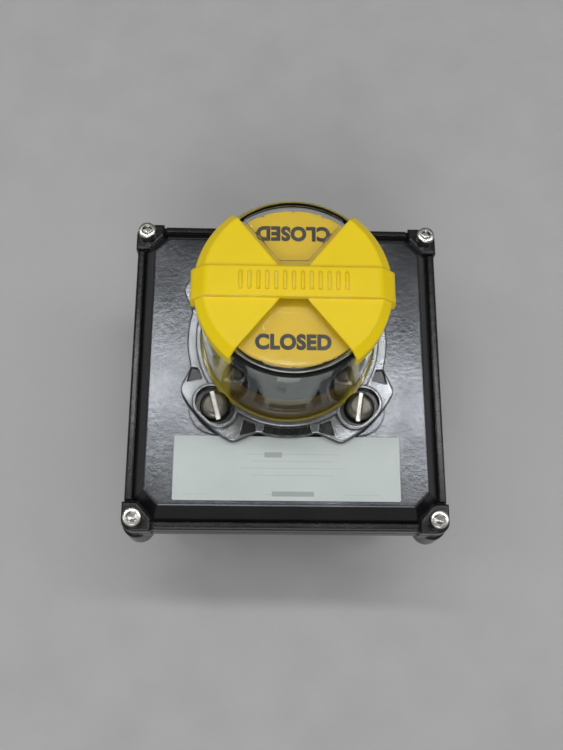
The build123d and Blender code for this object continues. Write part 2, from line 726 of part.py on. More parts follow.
with BuildPart() as cam_spring:
    coil_r = HUB_R + 1.6
    wire_r = 0.55
    spring_bottom = CAM_Z[0] + CAM_T / 2 + wire_r + 0.05
    spring_h = CAM_Z[1] - CAM_Z[0] - CAM_T - 2 * wire_r - 0.1
    with BuildLine():
        Helix(pitch=spring_h / 4, height=spring_h, radius=coil_r, center=(0, 0, spring_bottom))
    with BuildSketch(Plane(origin=(coil_r, 0, spring_bottom), z_dir=(0, 1, 0))):
        Circle(wire_r)
    sweep()
cam_spring.part.label = "cam_spring"
export_step(cam_spring.part, "parts/cam_spring.step")

with BuildPart() as cam_retainer:
    with BuildSketch(Plane.XY.offset(CAM_Z[1] + CAM_T / 2 + 0.05)):
        Circle(HUB_R + 3.2)
        Circle(CAM_BORE_R, mode=Mode.SUBTRACT)
    extrude(amount=2.0)
cam_retainer.part.label = "cam_retainer"
export_step(cam_retainer.part, "parts/cam_retainer.step")

with BuildPart() as drive_pin:
    with BuildSketch(Plane((0, 0, PIN_Z), x_dir=(0, 1, 0), z_dir=(1, 0, 0))):
        Circle(PIN_R - 0.02)
    extrude(amount=HUB_R - 0.2, both=True)
drive_pin.part.label = "drive_pin"
export_step(drive_pin.part, "parts/drive_pin.step")

# ---------------------------------------------------------------- oil seal ring, spindle, rotor
with BuildPart() as shaft_oring:
    with BuildSketch(Plane.XZ):
        with Locations((3.88, ORING_Z)):
            Circle(0.88)
    revolve(axis=Axis.Z)
shaft_oring.part.label = "shaft_oring"
export_step(shaft_oring.part, "parts/shaft_oring.step")

COLLAR_R = 6.2
COLLAR_TOP = PLATEAU_Z - COVER_T - 4.2
HUB_BORE_R = SPINDLE_R + 0.02
with BuildPart() as indicator_spindle:
    with BuildSketch(Plane.XY.offset(SHAFT_TOP - TANG_H + 0.2)):
        RectangleRounded(2 * SHAFT_R - 0.4, TANG_W, 0.5)
    extrude(amount=TANG_H)
    with BuildSketch(Plane.XY.offset(SHAFT_TOP + 0.1)):
        Circle(COLLAR_R)
    extrude(amount=COLLAR_TOP - SHAFT_TOP - 0.1)
    with BuildSketch(Plane.XY.offset(COLLAR_TOP)):
        Circle(SPINDLE_R)
    extrude(amount=SPINDLE_TOP - COLLAR_TOP)
    with Locations((0, 0, SPINDLE_TOP)):
        Hole(1.5, depth=8)
indicator_spindle.part.label = "indicator_spindle"
export_step(indicator_spindle.part, "parts/indicator_spindle.step")

DISC_T = 1.4
DISC_NOTCH_R = 0.7
with BuildPart() as indicator_disc:
    with BuildSketch(Plane.XY.offset(DISC_Z - DISC_T)):
        Circle(DISC_R)
        for middle in (0, 90, 180, 270):
            for side in (-22, 0, 22):
                with Locations(polar(DISC_R + 0.1, middle + side)):
                    Circle(DISC_NOTCH_R, mode=Mode.SUBTRACT)
    extrude(amount=DISC_T)
    with BuildSketch(Plane.XY.offset(DISC_Z - DISC_T)):
        Circle(SPINDLE_R + 2.6)
    extrude(amount=-7)
    with BuildSketch(Plane.XY.offset(SPINDLE_TOP)):
        Circle(HUB_BORE_R)
    extrude(amount=-20, mode=Mode.SUBTRACT)
    with Locations((0, 0, DISC_Z)):
        CounterBoreHole(1.6, 3.4, 0.9, depth=6)
indicator_disc.part.label = "indicator_disc"
export_step(indicator_disc.part, "parts/indicator_disc.step")

DRUM_TOP = DISC_Z - DISC_T - 0.1
DRUM_FLOOR = 92.0
DRUM_TOP_R = 25.0
DRUM_FOOT_R = 19.0
DRUM_WALL = 1.4
with BuildPart() as indicator_drum:
    with BuildSketch(Plane.XZ):
        with BuildLine():
            Polyline(
                (DRUM_TOP_R, DRUM_TOP),
                (DRUM_TOP_R - DRUM_WALL, DRUM_TOP),
                (DRUM_FOOT_R - DRUM_WALL, DRUM_FLOOR + DRUM_WALL),
                (HUB_BORE_R + 2, DRUM_FLOOR + DRUM_WALL),
                (HUB_BORE_R + 2, DRUM_FLOOR + 10),
                (HUB_BORE_R, DRUM_FLOOR + 10),
                (HUB_BORE_R, DRUM_FLOOR),
                (DRUM_FOOT_R, DRUM_FLOOR),
                close=True,
            )
        make_face()
    revolve(axis=Axis.Z)
indicator_drum.part.label = "indicator_drum"
export_step(indicator_drum.part, "parts/indicator_drum.step")

with BuildPart() as indicator_screw:
    with BuildSketch(Plane.XY.offset(DISC_Z - 0.88)):
        Circle(3.2)
    extrude(amount=0.75)
    with BuildSketch(Plane.XY.offset(DISC_Z - 0.88)):
        Circle(1.45)
    extrude(amount=-6)
indicator_screw.part.label = "indicator_screw"
export_step(indicator_screw.part, "parts/indicator_screw.step")

def driver_slots(places, turn):
    """Outline of the driver slots across the screw heads at these places."""
    with BuildSketch(mode=Mode.PRIVATE) as slots:
        with Locations(*[Location((x, y, 0), turn) for x, y in places]):
            Rectangle(DRIVER_SLOT_L, DRIVER_SLOT_W)
    return slots.sketch


# ---------------------------------------------------------------- switches and their bracket
DRIVER_SLOT_L = 6.0
DRIVER_SLOT_W = 0.8
DRIVER_SLOT_DEPTH = 0.9
SHEET = 1.5
SWITCH_X = SWITCH_FACE_X + SWITCH_H / 2
SWITCH_SCREW_X = 36.5
SWITCH_SCREWS = tuple((SWITCH_SCREW_X, SWITCH_Y + side * 11.1) for side in (-1, 1))
TAB_PLACES = (-10.5, -2.6, 5.3)
BRACKET_LEFT = SWITCH_Y - SWITCH_L / 2 - 0.5
BRACKET_RIGHT = SWITCH_Y + SWITCH_L / 2 + 0.5
POST_TOP = FLOOR_Z + POST_H
LEVER_L = ((CAM_LOW_R + ROLLER_R + ROLLER_GAP - PIVOT[0]) ** 2 + (1.5 - PIVOT[1]) ** 2) ** 0.5
LEVER_PIN_R = 0.75
PLUNGER_R = 1.0
STRIP_HALF = 0.4         # half thickness of a lever's strip
SHELF_TOPS = tuple(height - SWITCH_T / 2 - 0.05 for height in CAM_Z)

with BuildPart() as switch_bracket:
    with BuildSketch(Plane((27.0, 0, 0), x_dir=(0, 1, 0), z_dir=(1, 0, 0))):
        middle_y = (BRACKET_LEFT + BRACKET_RIGHT) / 2
        span = BRACKET_RIGHT - BRACKET_LEFT + 2 * SHEET
        wall_h = SHELF_TOPS[1] - POST_TOP
        for shelf in SHELF_TOPS:
            with Locations((middle_y, shelf - SHEET / 2)):
                Rectangle(span, SHEET)
        for edge, outward in ((BRACKET_LEFT, -1), (BRACKET_RIGHT, 1)):
            with Locations((edge + outward * SHEET / 2, POST_TOP + wall_h / 2)):
                Rectangle(SHEET, wall_h)
            with Locations((edge + outward * 4.2, POST_TOP + SHEET / 2)):
                Rectangle(8.4, SHEET)
    extrude(amount=12.0)
    with BuildSketch(Plane.XY.offset(POST_TOP)):
        with Locations(*BRACKET_PLACES):
            Circle(SMALL_HOLE_R)
    extrude(amount=SHEET, mode=Mode.SUBTRACT)
    with BuildSketch(Plane.XY.offset(POST_TOP + 2 * SHEET)):
        with Locations(*SWITCH_SCREWS):
            Circle(SMALL_HOLE_R)
    extrude(amount=30, mode=Mode.SUBTRACT)
switch_bracket.part.label = "switch_bracket"
export_step(switch_bracket.part, "parts/switch_bracket.step")

with BuildPart() as bracket_screws:
    with BuildSketch(Plane.XY.offset(POST_TOP + SHEET)):
        with Locations(*BRACKET_PLACES):
            Circle(2.7)
    extrude(amount=2.0)
    with BuildSketch(Plane.XY.offset(POST_TOP + SHEET)):
        with Locations(*BRACKET_PLACES):
            Circle(SMALL_HOLE_R - 0.1)
    extrude(amount=-6.5)
    with BuildSketch(Plane.XY.offset(POST_TOP + SHEET + 2.0)):
        add(driver_slots(BRACKET_PLACES, 35))
    extrude(amount=-DRIVER_SLOT_DEPTH, mode=Mode.SUBTRACT)
bracket_screws.part.label = "bracket_screws"
export_step(bracket_screws.part, "parts/bracket_screws.step")

for name, height in (("closed_switch", CAM_Z[0]), ("open_switch", CAM_Z[1])):
    with BuildPart() as switch:
        with BuildSketch(Plane((SWITCH_X, SWITCH_Y, height - SWITCH_T / 2))):
            RectangleRounded(SWITCH_H, SWITCH_L, 0.8)
        extrude(amount=SWITCH_T)
        with BuildSketch(Plane.XY.offset(height)):
            with Locations((SWITCH_FACE_X - 1.7, PIVOT[1])):
                Rectangle(4.0, 3.2)
        extrude(amount=4.2, both=True)
        with BuildSketch(Plane.XY.offset(height)):
            with Locations((SWITCH_FACE_X - 2.0, PIVOT[1])):
                Rectangle(4.0, 3.4)
        extrude(amount=2.75, both=True, mode=Mode.SUBTRACT)
        with BuildSketch(Plane.XY.offset(height)):
            with Locations(PIVOT):
                Circle(LEVER_PIN_R)
        extrude(amount=6, both=True, mode=Mode.SUBTRACT)
        with BuildSketch(Plane((SWITCH_FACE_X, PLUNGER_Y, height), x_dir=(0, 1, 0), z_dir=(1, 0, 0))):
            Circle(PLUNGER_R + RUNNING)
        extrude(amount=6, mode=Mode.SUBTRACT)
        with BuildSketch(Plane.XY.offset(height)):
            with Locations(*SWITCH_SCREWS):
                Circle(SMALL_HOLE_R)
        extrude(amount=6, both=True, mode=Mode.SUBTRACT)
    switch.part.label = name
    export_step(switch.part, f"parts/{name}.step")

with BuildPart() as switch_screws:
    for height in CAM_Z:
        with BuildSketch(Plane.XY.offset(height + SWITCH_T / 2)):
            with Locations(*SWITCH_SCREWS):
                Circle(2.7)
        extrude(amount=1.8)
        with BuildSketch(Plane.XY.offset(height + SWITCH_T / 2)):
            with Locations(*SWITCH_SCREWS):
                Circle(SMALL_HOLE_R - 0.1)
        extrude(amount=-(SWITCH_T + SHEET + 0.8))
        with BuildSketch(Plane.XY.offset(height + SWITCH_T / 2 + 1.8)):
            add(driver_slots(SWITCH_SCREWS, 20))
        extrude(amount=-DRIVER_SLOT_DEPTH, mode=Mode.SUBTRACT)
switch_screws.part.label = "switch_screws"
export_step(switch_screws.part, "parts/switch_screws.step")

with BuildPart() as switch_terminals:
    for height in CAM_Z:
        with BuildSketch(Plane((SWITCH_FACE_X + SWITCH_H, 0, height), x_dir=(0, 1, 0), z_dir=(1, 0, 0))):
            for place in TAB_PLACES:
                with Locations((place, 0)):
                    Rectangle(0.8, 4.8)
        extrude(amount=5.0)
switch_terminals.part.label = "switch_terminals"
export_step(switch_terminals.part, "parts/switch_terminals.step")

with BuildPart() as lever_pins:
    for height in CAM_Z:
        with BuildSketch(Plane((PIVOT[0], PIVOT[1], height))):
            Circle(LEVER_PIN_R - 0.02)
        extrude(amount=4.4, both=True)
lever_pins.part.label = "lever_pins"
export_step(lever_pins.part, "parts/lever_pins.step")


def lever_plane(height, lever_angle):
    """Plane at the lever's pivot with its X along the lever."""
    x, y = roller_centre(lever_angle)
    return Plane((PIVOT[0], PIVOT[1], height), x_dir=(x - PIVOT[0], y - PIVOT[1], 0), z_dir=(0, 0, 1))


def plunger_tip_x(lever_angle):
    """Centre of the plunger's round tip when it touches the lever's strip."""
    x, y = roller_centre(lever_angle)
    along = ((x - PIVOT[0]) / LEVER_L, (y - PIVOT[1]) / LEVER_L)
    stand_off = STRIP_HALF + PLUNGER_R + 0.05
    reach = (PLUNGER_Y - PIVOT[1] - stand_off * -along[0]) / along[1]
    return PIVOT[0] + reach * along[0] + stand_off * along[1]


for name, height, angle in (("closed", CAM_Z[0], -LEVER_SWING), ("open", CAM_Z[1], 0)):
    seat = lever_plane(height, angle)
    with BuildPart() as lever:
        with BuildSketch(seat):
            with Locations((6.1, 0)):
                Rectangle(12.2, 2 * STRIP_HALF)
            Circle(1.5)
        extrude(amount=2.5, both=True)
        with BuildSketch(seat):
            with Locations((14.2, 0)):
                SlotOverall(6.8, 2.4)
        extrude(amount=2.9, both=True)
        with BuildSketch(seat):
            with Locations((16.2, 0)):
                Rectangle(8.0, 4)
        extrude(amount=2.25, both=True, mode=Mode.SUBTRACT)
        with BuildSketch(seat):
            with Locations((LEVER_L, 0)):
                Circle(0.8)
        extrude(amount=2.9, both=True)
        with BuildSketch(seat):
            Circle(LEVER_PIN_R + RUNNING)
        extrude(amount=4, both=True, mode=Mode.SUBTRACT)
    lever.part.label = f"{name}_lever"
    export_step(lever.part, f"parts/{name}_lever.step")

    with BuildPart() as roller:
        with BuildSketch(seat):
            with Locations((LEVER_L, 0)):
                Circle(ROLLER_R)
                Circle(0.8 + RUNNING, mode=Mode.SUBTRACT)
        extrude(amount=2.1, both=True)
    roller.part.label = f"{name}_roller"
    export_step(roller.part, f"parts/{name}_roller.step")

    with BuildPart() as plunger:
        tip = plunger_tip_x(angle)
        with BuildSketch(Plane((tip, PLUNGER_Y, height), x_dir=(0, 1, 0), z_dir=(1, 0, 0))):
            Circle(PLUNGER_R)
        extrude(amount=SWITCH_FACE_X + 4.5 - tip)
        with Locations((tip, PLUNGER_Y, height)):
            Sphere(PLUNGER_R)
    plunger.part.label = f"{name}_plunger"
    export_step(plunger.part, f"parts/{name}_plunger.step")

# ---------------------------------------------------------------- terminal strip and earth screw
POLES = 6
POLE_PITCH = 9.5
STRIP_Y = -47.0
STRIP_D = 15.0
STRIP_H = 7.0
FIN_H = 6.5
POLE_XS = tuple((pole - (POLES - 1) / 2) * POLE_PITCH for pole in range(POLES))
CLAMP_ROWS = (STRIP_Y - 3.8, STRIP_Y + 3.8)

with BuildPart() as terminal_strip:
    with BuildSketch(Plane((0, STRIP_Y, POST_TOP))):
        RectangleRounded(71.0, STRIP_D, 1.5)
    extrude(amount=STRIP_H)
    with BuildSketch(Plane((0, STRIP_Y, POST_TOP + STRIP_H))):
        with GridLocations(POLE_PITCH, 0, POLES + 1, 1):
            Rectangle(1.3, STRIP_D - 1)
    extrude(amount=FIN_H)
    with BuildSketch(Plane.XY.offset(POST_TOP)):
        with Locations(*STRIP_PLACES):
            Circle(SMALL_HOLE_R)
    extrude(amount=STRIP_H, mode=Mode.SUBTRACT)
    with BuildSketch(Plane.XY.offset(POST_TOP + STRIP_H)):
        for row in CLAMP_ROWS:
            for pole in POLE_XS:
                with Locations((pole, row)):
                    Circle(1.5)
    extrude(amount=-5, mode=Mode.SUBTRACT)
terminal_strip.part.label = "terminal_strip"
export_step(terminal_strip.part, "parts/terminal_strip.step")

with BuildPart() as terminal_clamps:
    with BuildSketch(Plane((0, STRIP_Y, POST_TOP + STRIP_H + 0.02))):
        with GridLocations(POLE_PITCH, 0, POLES, 1):
            Rectangle(6.4, STRIP_D - 1.5)
        for row in (-3.8, 3.8):
            with GridLocations(POLE_PITCH, 0, POLES, 1):
                with Locations((0, row)):
                    Circle(1.5, mode=Mode.SUBTRACT)
    extrude(amount=0.8)
terminal_clamps.part.label = "terminal_clamps"
export_step(terminal_clamps.part, "parts/terminal_clamps.step")

with BuildPart() as terminal_screws:
    for row in CLAMP_ROWS:
        with BuildSketch(Plane.XY.offset(POST_TOP + STRIP_H + 0.85)):
            for pole in POLE_XS:
                with Locations((pole, row)):
                    Circle(2.6)
        extrude(amount=2.0)
        with BuildSketch(Plane.XY.offset(POST_TOP + STRIP_H + 0.85)):
            for pole in POLE_XS:
                with Locations((pole, row)):
                    Circle(1.4)
        extrude(amount=-4.5)
        with BuildSketch(Plane.XY.offset(POST_TOP + STRIP_H + 2.85)):
            add(driver_slots([(pole, row) for pole in POLE_XS], 90))
        extrude(amount=-DRIVER_SLOT_DEPTH, mode=Mode.SUBTRACT)
terminal_screws.part.label = "terminal_screws"
export_step(terminal_screws.part, "parts/terminal_screws.step")

with BuildPart() as strip_screws:
    with BuildSketch(Plane.XY.offset(POST_TOP + STRIP_H)):
        with Locations(*STRIP_PLACES):
            Circle(2.6)
    extrude(amount=2.0)
    with BuildSketch(Plane.XY.offset(POST_TOP + STRIP_H)):
        with Locations(*STRIP_PLACES):
            Circle(SMALL_HOLE_R - 0.1)
    extrude(amount=-(STRIP_H + 5))
    with BuildSketch(Plane.XY.offset(POST_TOP + STRIP_H + 2.0)):
        add(driver_slots(STRIP_PLACES, 60))
    extrude(amount=-DRIVER_SLOT_DEPTH, mode=Mode.SUBTRACT)
strip_screws.part.label = "strip_screws"
export_step(strip_screws.part, "parts/strip_screws.step")

with BuildPart() as ground_screw:
    with BuildSketch(Plane(GROUND_PLACE + (FLOOR_Z,))):
        RegularPolygon(4.0, 6)
    extrude(amount=3.4)
    with BuildSketch(Plane(GROUND_PLACE + (FLOOR_Z,))):
        Circle(GROUND_R - 0.1)
    extrude(amount=-4)
ground_screw.part.label = "ground_screw"
export_step(ground_screw.part, "parts/ground_screw.step")
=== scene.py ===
"""Looks of a valve limit switch box with a rotary beacon, laid out as an add-on."""

import json
from math import cos, pi, radians, sin

import bmesh
import bpy
from bpy.props import FloatProperty, FloatVectorProperty, IntProperty, PointerProperty
from mathutils import Matrix, Vector


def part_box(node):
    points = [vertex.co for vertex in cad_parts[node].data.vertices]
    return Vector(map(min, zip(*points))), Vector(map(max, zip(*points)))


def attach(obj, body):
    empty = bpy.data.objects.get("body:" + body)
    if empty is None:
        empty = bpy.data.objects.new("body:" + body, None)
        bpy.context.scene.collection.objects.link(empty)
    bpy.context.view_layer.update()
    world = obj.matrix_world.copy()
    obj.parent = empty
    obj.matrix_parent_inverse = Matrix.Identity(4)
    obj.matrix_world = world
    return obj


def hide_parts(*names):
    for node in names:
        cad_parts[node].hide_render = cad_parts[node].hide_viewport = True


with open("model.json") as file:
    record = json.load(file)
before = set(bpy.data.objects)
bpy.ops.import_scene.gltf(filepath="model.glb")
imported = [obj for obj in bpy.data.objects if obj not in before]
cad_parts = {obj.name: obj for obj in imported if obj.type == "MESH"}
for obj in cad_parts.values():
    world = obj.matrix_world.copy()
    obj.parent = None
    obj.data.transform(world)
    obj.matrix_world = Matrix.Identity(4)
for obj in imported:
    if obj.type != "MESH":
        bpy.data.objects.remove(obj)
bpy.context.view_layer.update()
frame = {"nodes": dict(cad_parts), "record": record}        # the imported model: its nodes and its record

bl_info = {
    "name": "Valve limit switch box",
    "version": (1, 0, 0),
    "blender": (4, 5, 0),
    "location": "View3D > Sidebar > Switch Box",
    "description": "Finishes and fine pieces of a valve limit switch box with a rotary beacon",
    "category": "Object",
}

MM = 0.001
NODES = frame["nodes"]

# Heights of the retaining flange, above its underside.
FLANGE_FACE = 3.0 * MM
FLANGE_BAND = 2.5 * MM

# Where the camera stands, and its axes as rows.
CAMERA_PLACE = (-0.01219, -0.11669, 0.39923)
CAMERA_AXES = ((0.99947, 0.00344, 0.03252), (-0.01323, 0.95195, 0.30596),
               (-0.0299, -0.30622, 0.95149))


# ---------------------------------------------------------------- settings
def colour_property(name, description, default):
    return FloatVectorProperty(name=name, description=description, default=default,
                               size=3, min=0.0, max=1.0, subtype="COLOR")


def length_property(name, description, default):
    return FloatProperty(name=name, description=description, default=default,
                         min=0.0, unit="LENGTH", precision=5)


class SWITCHBOX_PG_finish(bpy.types.PropertyGroup):
    """Colours and wear of the finishes."""
    coat: colour_property("Coat", "Black powder coat of the case", (0.005, 0.005, 0.006))
    # Painted sheen: the metallic grey that stands in for the lamp's sheen on the flat lid panel.
    sheen: colour_property("Sheen", "Metallic sheen of the flat lid panel", (0.095, 0.10, 0.108))
    cap: colour_property("Cap", "Opaque yellow of the beacon cap", (0.90, 0.665, 0.008))
    # Painted shade: the dark amber laid across the mask's windows, where the cap shades its yellow.
    mask: colour_property("Mask", "Smoked amber of the window mask", (0.115, 0.078, 0.014))
    disc: colour_property("Closed sector", "Yellow of the closed sectors", (0.83, 0.55, 0.008))
    dark: colour_property("Open sector", "Black of the open sectors and the lettering",
                          (0.012, 0.012, 0.012))
    drum: colour_property("Drum", "Light grey of the side panels", (0.60, 0.60, 0.585))
    plate: colour_property("Nameplate", "Grey green ground of the nameplate", (0.54, 0.60, 0.59))
    chrome: colour_property("Plating", "Bright plating of the flange", (0.27, 0.282, 0.295))
    steel: colour_property("Stainless", "Stainless steel of the screws", (0.62, 0.61, 0.58))
    iron: colour_property("Dark steel", "Oiled steel of the flange screws", (0.15, 0.145, 0.125))
    wear: FloatProperty(name="Edge wear", description="How much the edges are rubbed",
                        default=0.35, min=0.0, max=1.0, subtype="FACTOR")
    dust: FloatProperty(name="Dust", description="How much dust lies on upward faces",
                        default=0.06, min=0.0, max=1.0, subtype="FACTOR")


class SWITCHBOX_PG_sizes(bpy.types.PropertyGroup):
    """Sizes of the fine pieces."""
    head_radius: length_property("Screw head radius", "Cover screw head", 3.45 * MM)
    socket_width: length_property("Socket width", "Across the flats of the hex socket", 3.58 * MM)
    knurls: IntProperty(name="Knurls", description="Flutes round a cover screw head",
                        default=30, min=8, max=60)
    teeth: IntProperty(name="Flange teeth", description="Teeth in one serrated arc",
                       default=26, min=4, max=60)
    ribs: IntProperty(name="Strap ribs", description="Raised ribs on the beacon strap",
                      default=13, min=1, max=40)
    word_width: length_property("Word width", "Width of a word on the indicator", 24.4 * MM)
    thread_pitch: length_property("Thread pitch", "Pitch of the conduit thread", 1.814 * MM)


class SWITCHBOX_PG_stage(bpy.types.PropertyGroup):
    """Floor, lamps and camera."""
    floor: colour_property("Floor", "Pale floor", (0.42, 0.425, 0.42))
    key: FloatProperty(name="Key lamp", description="Radiance of the ceiling tube",
                       default=14.0, min=0.0)
    sky: FloatProperty(name="Room light", description="Strength of the world",
                       default=0.38, min=0.0)
    focal: FloatProperty(name="Focal length", description="Lens of the camera, in millimetres",
                         default=43.2, min=10.0, max=200.0)


class SWITCHBOX_PG_settings(bpy.types.PropertyGroup):
    """All settings of the switch box."""
    finish: PointerProperty(type=SWITCHBOX_PG_finish)
    sizes: PointerProperty(type=SWITCHBOX_PG_sizes)
    stage: PointerProperty(type=SWITCHBOX_PG_stage)


def settings():
    return bpy.context.scene.switch_box


# ---------------------------------------------------------------- node helpers
def wire(tree, source, target):
    """Link two sockets, or set the target where the source is a plain value."""
    if isinstance(source, bpy.types.NodeSocket):
        tree.links.new(source, target)
    else:
        target.default_value = source


def node(tree, kind, inputs=None, **settings_of_node):
    """A new node with its settings and inputs; inputs are keyed by name or index."""
    made = tree.nodes.new(kind)
    for key, value in settings_of_node.items():
        setattr(made, key, value)
    for key, value in (inputs or {}).items():
        wire(tree, value, made.inputs[key])
    return made


def maths(tree, operation, *values, clamp=False):
    made = node(tree, "ShaderNodeMath", operation=operation, use_clamp=clamp)
    for place, value in enumerate(values):
        wire(tree, value, made.inputs[place])
    return made.outputs[0]


def ramp(tree, value, low, high, out_low=0.0, out_high=1.0):
    made = node(tree, "ShaderNodeMapRange", {"Value": value, "From Min": low, "From Max": high,
                                             "To Min": out_low, "To Max": out_high})
    return made.outputs["Result"]


def blend_colour(tree, factor, first, second):
    made = node(tree, "ShaderNodeMix", data_type="RGBA")
    wire(tree, factor, made.inputs[0])
    wire(tree, first, made.inputs[6])
    wire(tree, second, made.inputs[7])
    return made.outputs[2]


def noise(tree, vector, scale, detail=3.0, rough=0.55):
    return node(tree, "ShaderNodeTexNoise", {"Vector": vector, "Scale": scale, "Detail": detail,
                                             "Roughness": rough}).outputs["Fac"]


def object_place(tree):
    return node(tree, "ShaderNodeTexCoord").outputs["Object"]


def object_axes(tree):
    """X, Y and Z of the point, in the object's own frame."""
    return node(tree, "ShaderNodeSeparateXYZ", {0: object_place(tree)}).outputs


def facing_up(tree):
    """Z of the surface's normal: 1 where a face looks straight up."""
    normal = node(tree, "ShaderNodeTexCoord").outputs["Normal"]
    return node(tree, "ShaderNodeSeparateXYZ", {0: normal}).outputs["Z"]


def socket(tree, name, kind, direction="INPUT", default=None):
    made = tree.interface.new_socket(name=name, in_out=direction, socket_type=kind)
    if default is not None:
        made.default_value = default
    return made


def shader_group(name, inputs, outputs):
    """An empty shared node group with its sockets; returns tree, input node and output node."""
    tree = bpy.data.node_groups.new(name, "ShaderNodeTree")
    for label, kind, default in inputs:
        socket(tree, label, kind, default=default)
    for label, kind in outputs:
        socket(tree, label, kind, "OUTPUT")
    return tree, tree.nodes.new("NodeGroupInput"), tree.nodes.new("NodeGroupOutput")


def wear_and_glint_edges_group():
    """Mask of the outer edges, broken up by noise, for real rubbing and painted glints, and a normal rounded over
    them.
    """
    tree, given, result = shader_group(
        "Wear And Glint Edges",
        [("Radius", "NodeSocketFloat", 0.0006), ("Amount", "NodeSocketFloat", 0.5),
         ("Patch Scale", "NodeSocketFloat", 260.0)],
        [("Mask", "NodeSocketFloat"), ("Normal", "NodeSocketVector")])
    rounded = node(tree, "ShaderNodeBevel", {"Radius": given.outputs["Radius"]}, samples=4)
    plain = node(tree, "ShaderNodeNewGeometry").outputs["Normal"]
    alike = node(tree, "ShaderNodeVectorMath", {0: rounded.outputs[0], 1: plain},
                 operation="DOT_PRODUCT").outputs["Value"]
    edge = ramp(tree, alike, 0.985, 0.80)
    patches = noise(tree, object_place(tree), given.outputs["Patch Scale"], 4.0, 0.65)
    broken = ramp(tree, patches, 0.42, 0.66)
    mask = maths(tree, "MULTIPLY", edge, broken, clamp=True)
    wire(tree, maths(tree, "MULTIPLY", mask, given.outputs["Amount"], clamp=True),
         result.inputs["Mask"])
    wire(tree, rounded.outputs[0], result.inputs["Normal"])
    return tree


def fine_grain_group():
    """Two sizes of unevenness: a height for bump and a tone that drifts slowly."""
    tree, given, result = shader_group(
        "Fine Grain",
        [("Grain Scale", "NodeSocketFloat", 1200.0), ("Wave Scale", "NodeSocketFloat", 300.0),
         ("Wave Share", "NodeSocketFloat", 0.5)],
        [("Height", "NodeSocketFloat"), ("Tone", "NodeSocketFloat")])
    place = object_place(tree)
    grain = noise(tree, place, given.outputs["Grain Scale"], 2.0, 0.5)
    wave = noise(tree, place, given.outputs["Wave Scale"], 3.0, 0.6)
    height = node(tree, "ShaderNodeMix", {0: given.outputs["Wave Share"], 2: grain, 3: wave})
    wire(tree, height.outputs[0], result.inputs["Height"])
    wire(tree, noise(tree, place, 45.0, 3.0, 0.5), result.inputs["Tone"])
    return tree


def settled_dust_group():
    """Mask of dust on faces that look up, thicker in patches."""
    tree, given, result = shader_group(
        "Settled Dust", [("Amount", "NodeSocketFloat", 0.3)], [("Mask", "NodeSocketFloat")])
    facing = ramp(tree, facing_up(tree), 0.55, 1.0)
    specks = ramp(tree, noise(tree, object_place(tree), 900.0, 2.0, 0.7), 0.60, 0.74)
    film = ramp(tree, noise(tree, object_place(tree), 60.0, 4.0, 0.6), 0.45, 0.75, 0.0, 0.35)
    both = maths(tree, "ADD", specks, film, clamp=True)
    mask = maths(tree, "MULTIPLY", maths(tree, "MULTIPLY", both, facing), given.outputs["Amount"],
                 clamp=True)
    wire(tree, mask, result.inputs["Mask"])
    return tree


def recess_group():
    """Mask of painted shade in the corners and recesses, found by ambient occlusion."""
    tree, given, result = shader_group(
        "Recess Shade",
        [("Distance", "NodeSocketFloat", 0.003), ("Amount", "NodeSocketFloat", 0.5)],
        [("Mask", "NodeSocketFloat")])
    hidden = node(tree, "ShaderNodeAmbientOcclusion", {"Distance": given.outputs["Distance"]},
                  samples=4)
    closed = ramp(tree, hidden.outputs["AO"], 0.95, 0.35)
    patches = ramp(tree, noise(tree, object_place(tree), 500.0, 4.0, 0.6), 0.25, 0.6, 0.4, 1.0)
    mask = maths(tree, "MULTIPLY", maths(tree, "MULTIPLY", closed, patches),
                 given.outputs["Amount"], clamp=True)
    wire(tree, mask, result.inputs["Mask"])
    return tree


GROUP_MAKERS = {
    "Wear And Glint Edges": wear_and_glint_edges_group,
    "Fine Grain": fine_grain_group,
    "Settled Dust": settled_dust_group,
    "Recess Shade": recess_group,
}


def shared(tree, name, **inputs):
    """Place a shared node group in a material with its own values."""
    made = node(tree, "ShaderNodeGroup")
    made.node_tree = bpy.data.node_groups.get(name) or GROUP_MAKERS[name]()
    for key, value in inputs.items():
        wire(tree, value, made.inputs[key.replace("_", " ").title()])
    return made.outputs


def rgba(colour, factor=1.0):
    return (colour[0] * factor, colour[1] * factor, colour[2] * factor, 1.0)


def mottled(tree, colour, darker, lighter, scale, detail=3.0, rough=0.5):
    """A colour that drifts between a darker and a lighter tone of itself."""
    drift = ramp(tree, noise(tree, object_place(tree), scale, detail, rough), 0.3, 0.7)
    return blend_colour(tree, drift, rgba(colour, darker), rgba(colour, lighter))


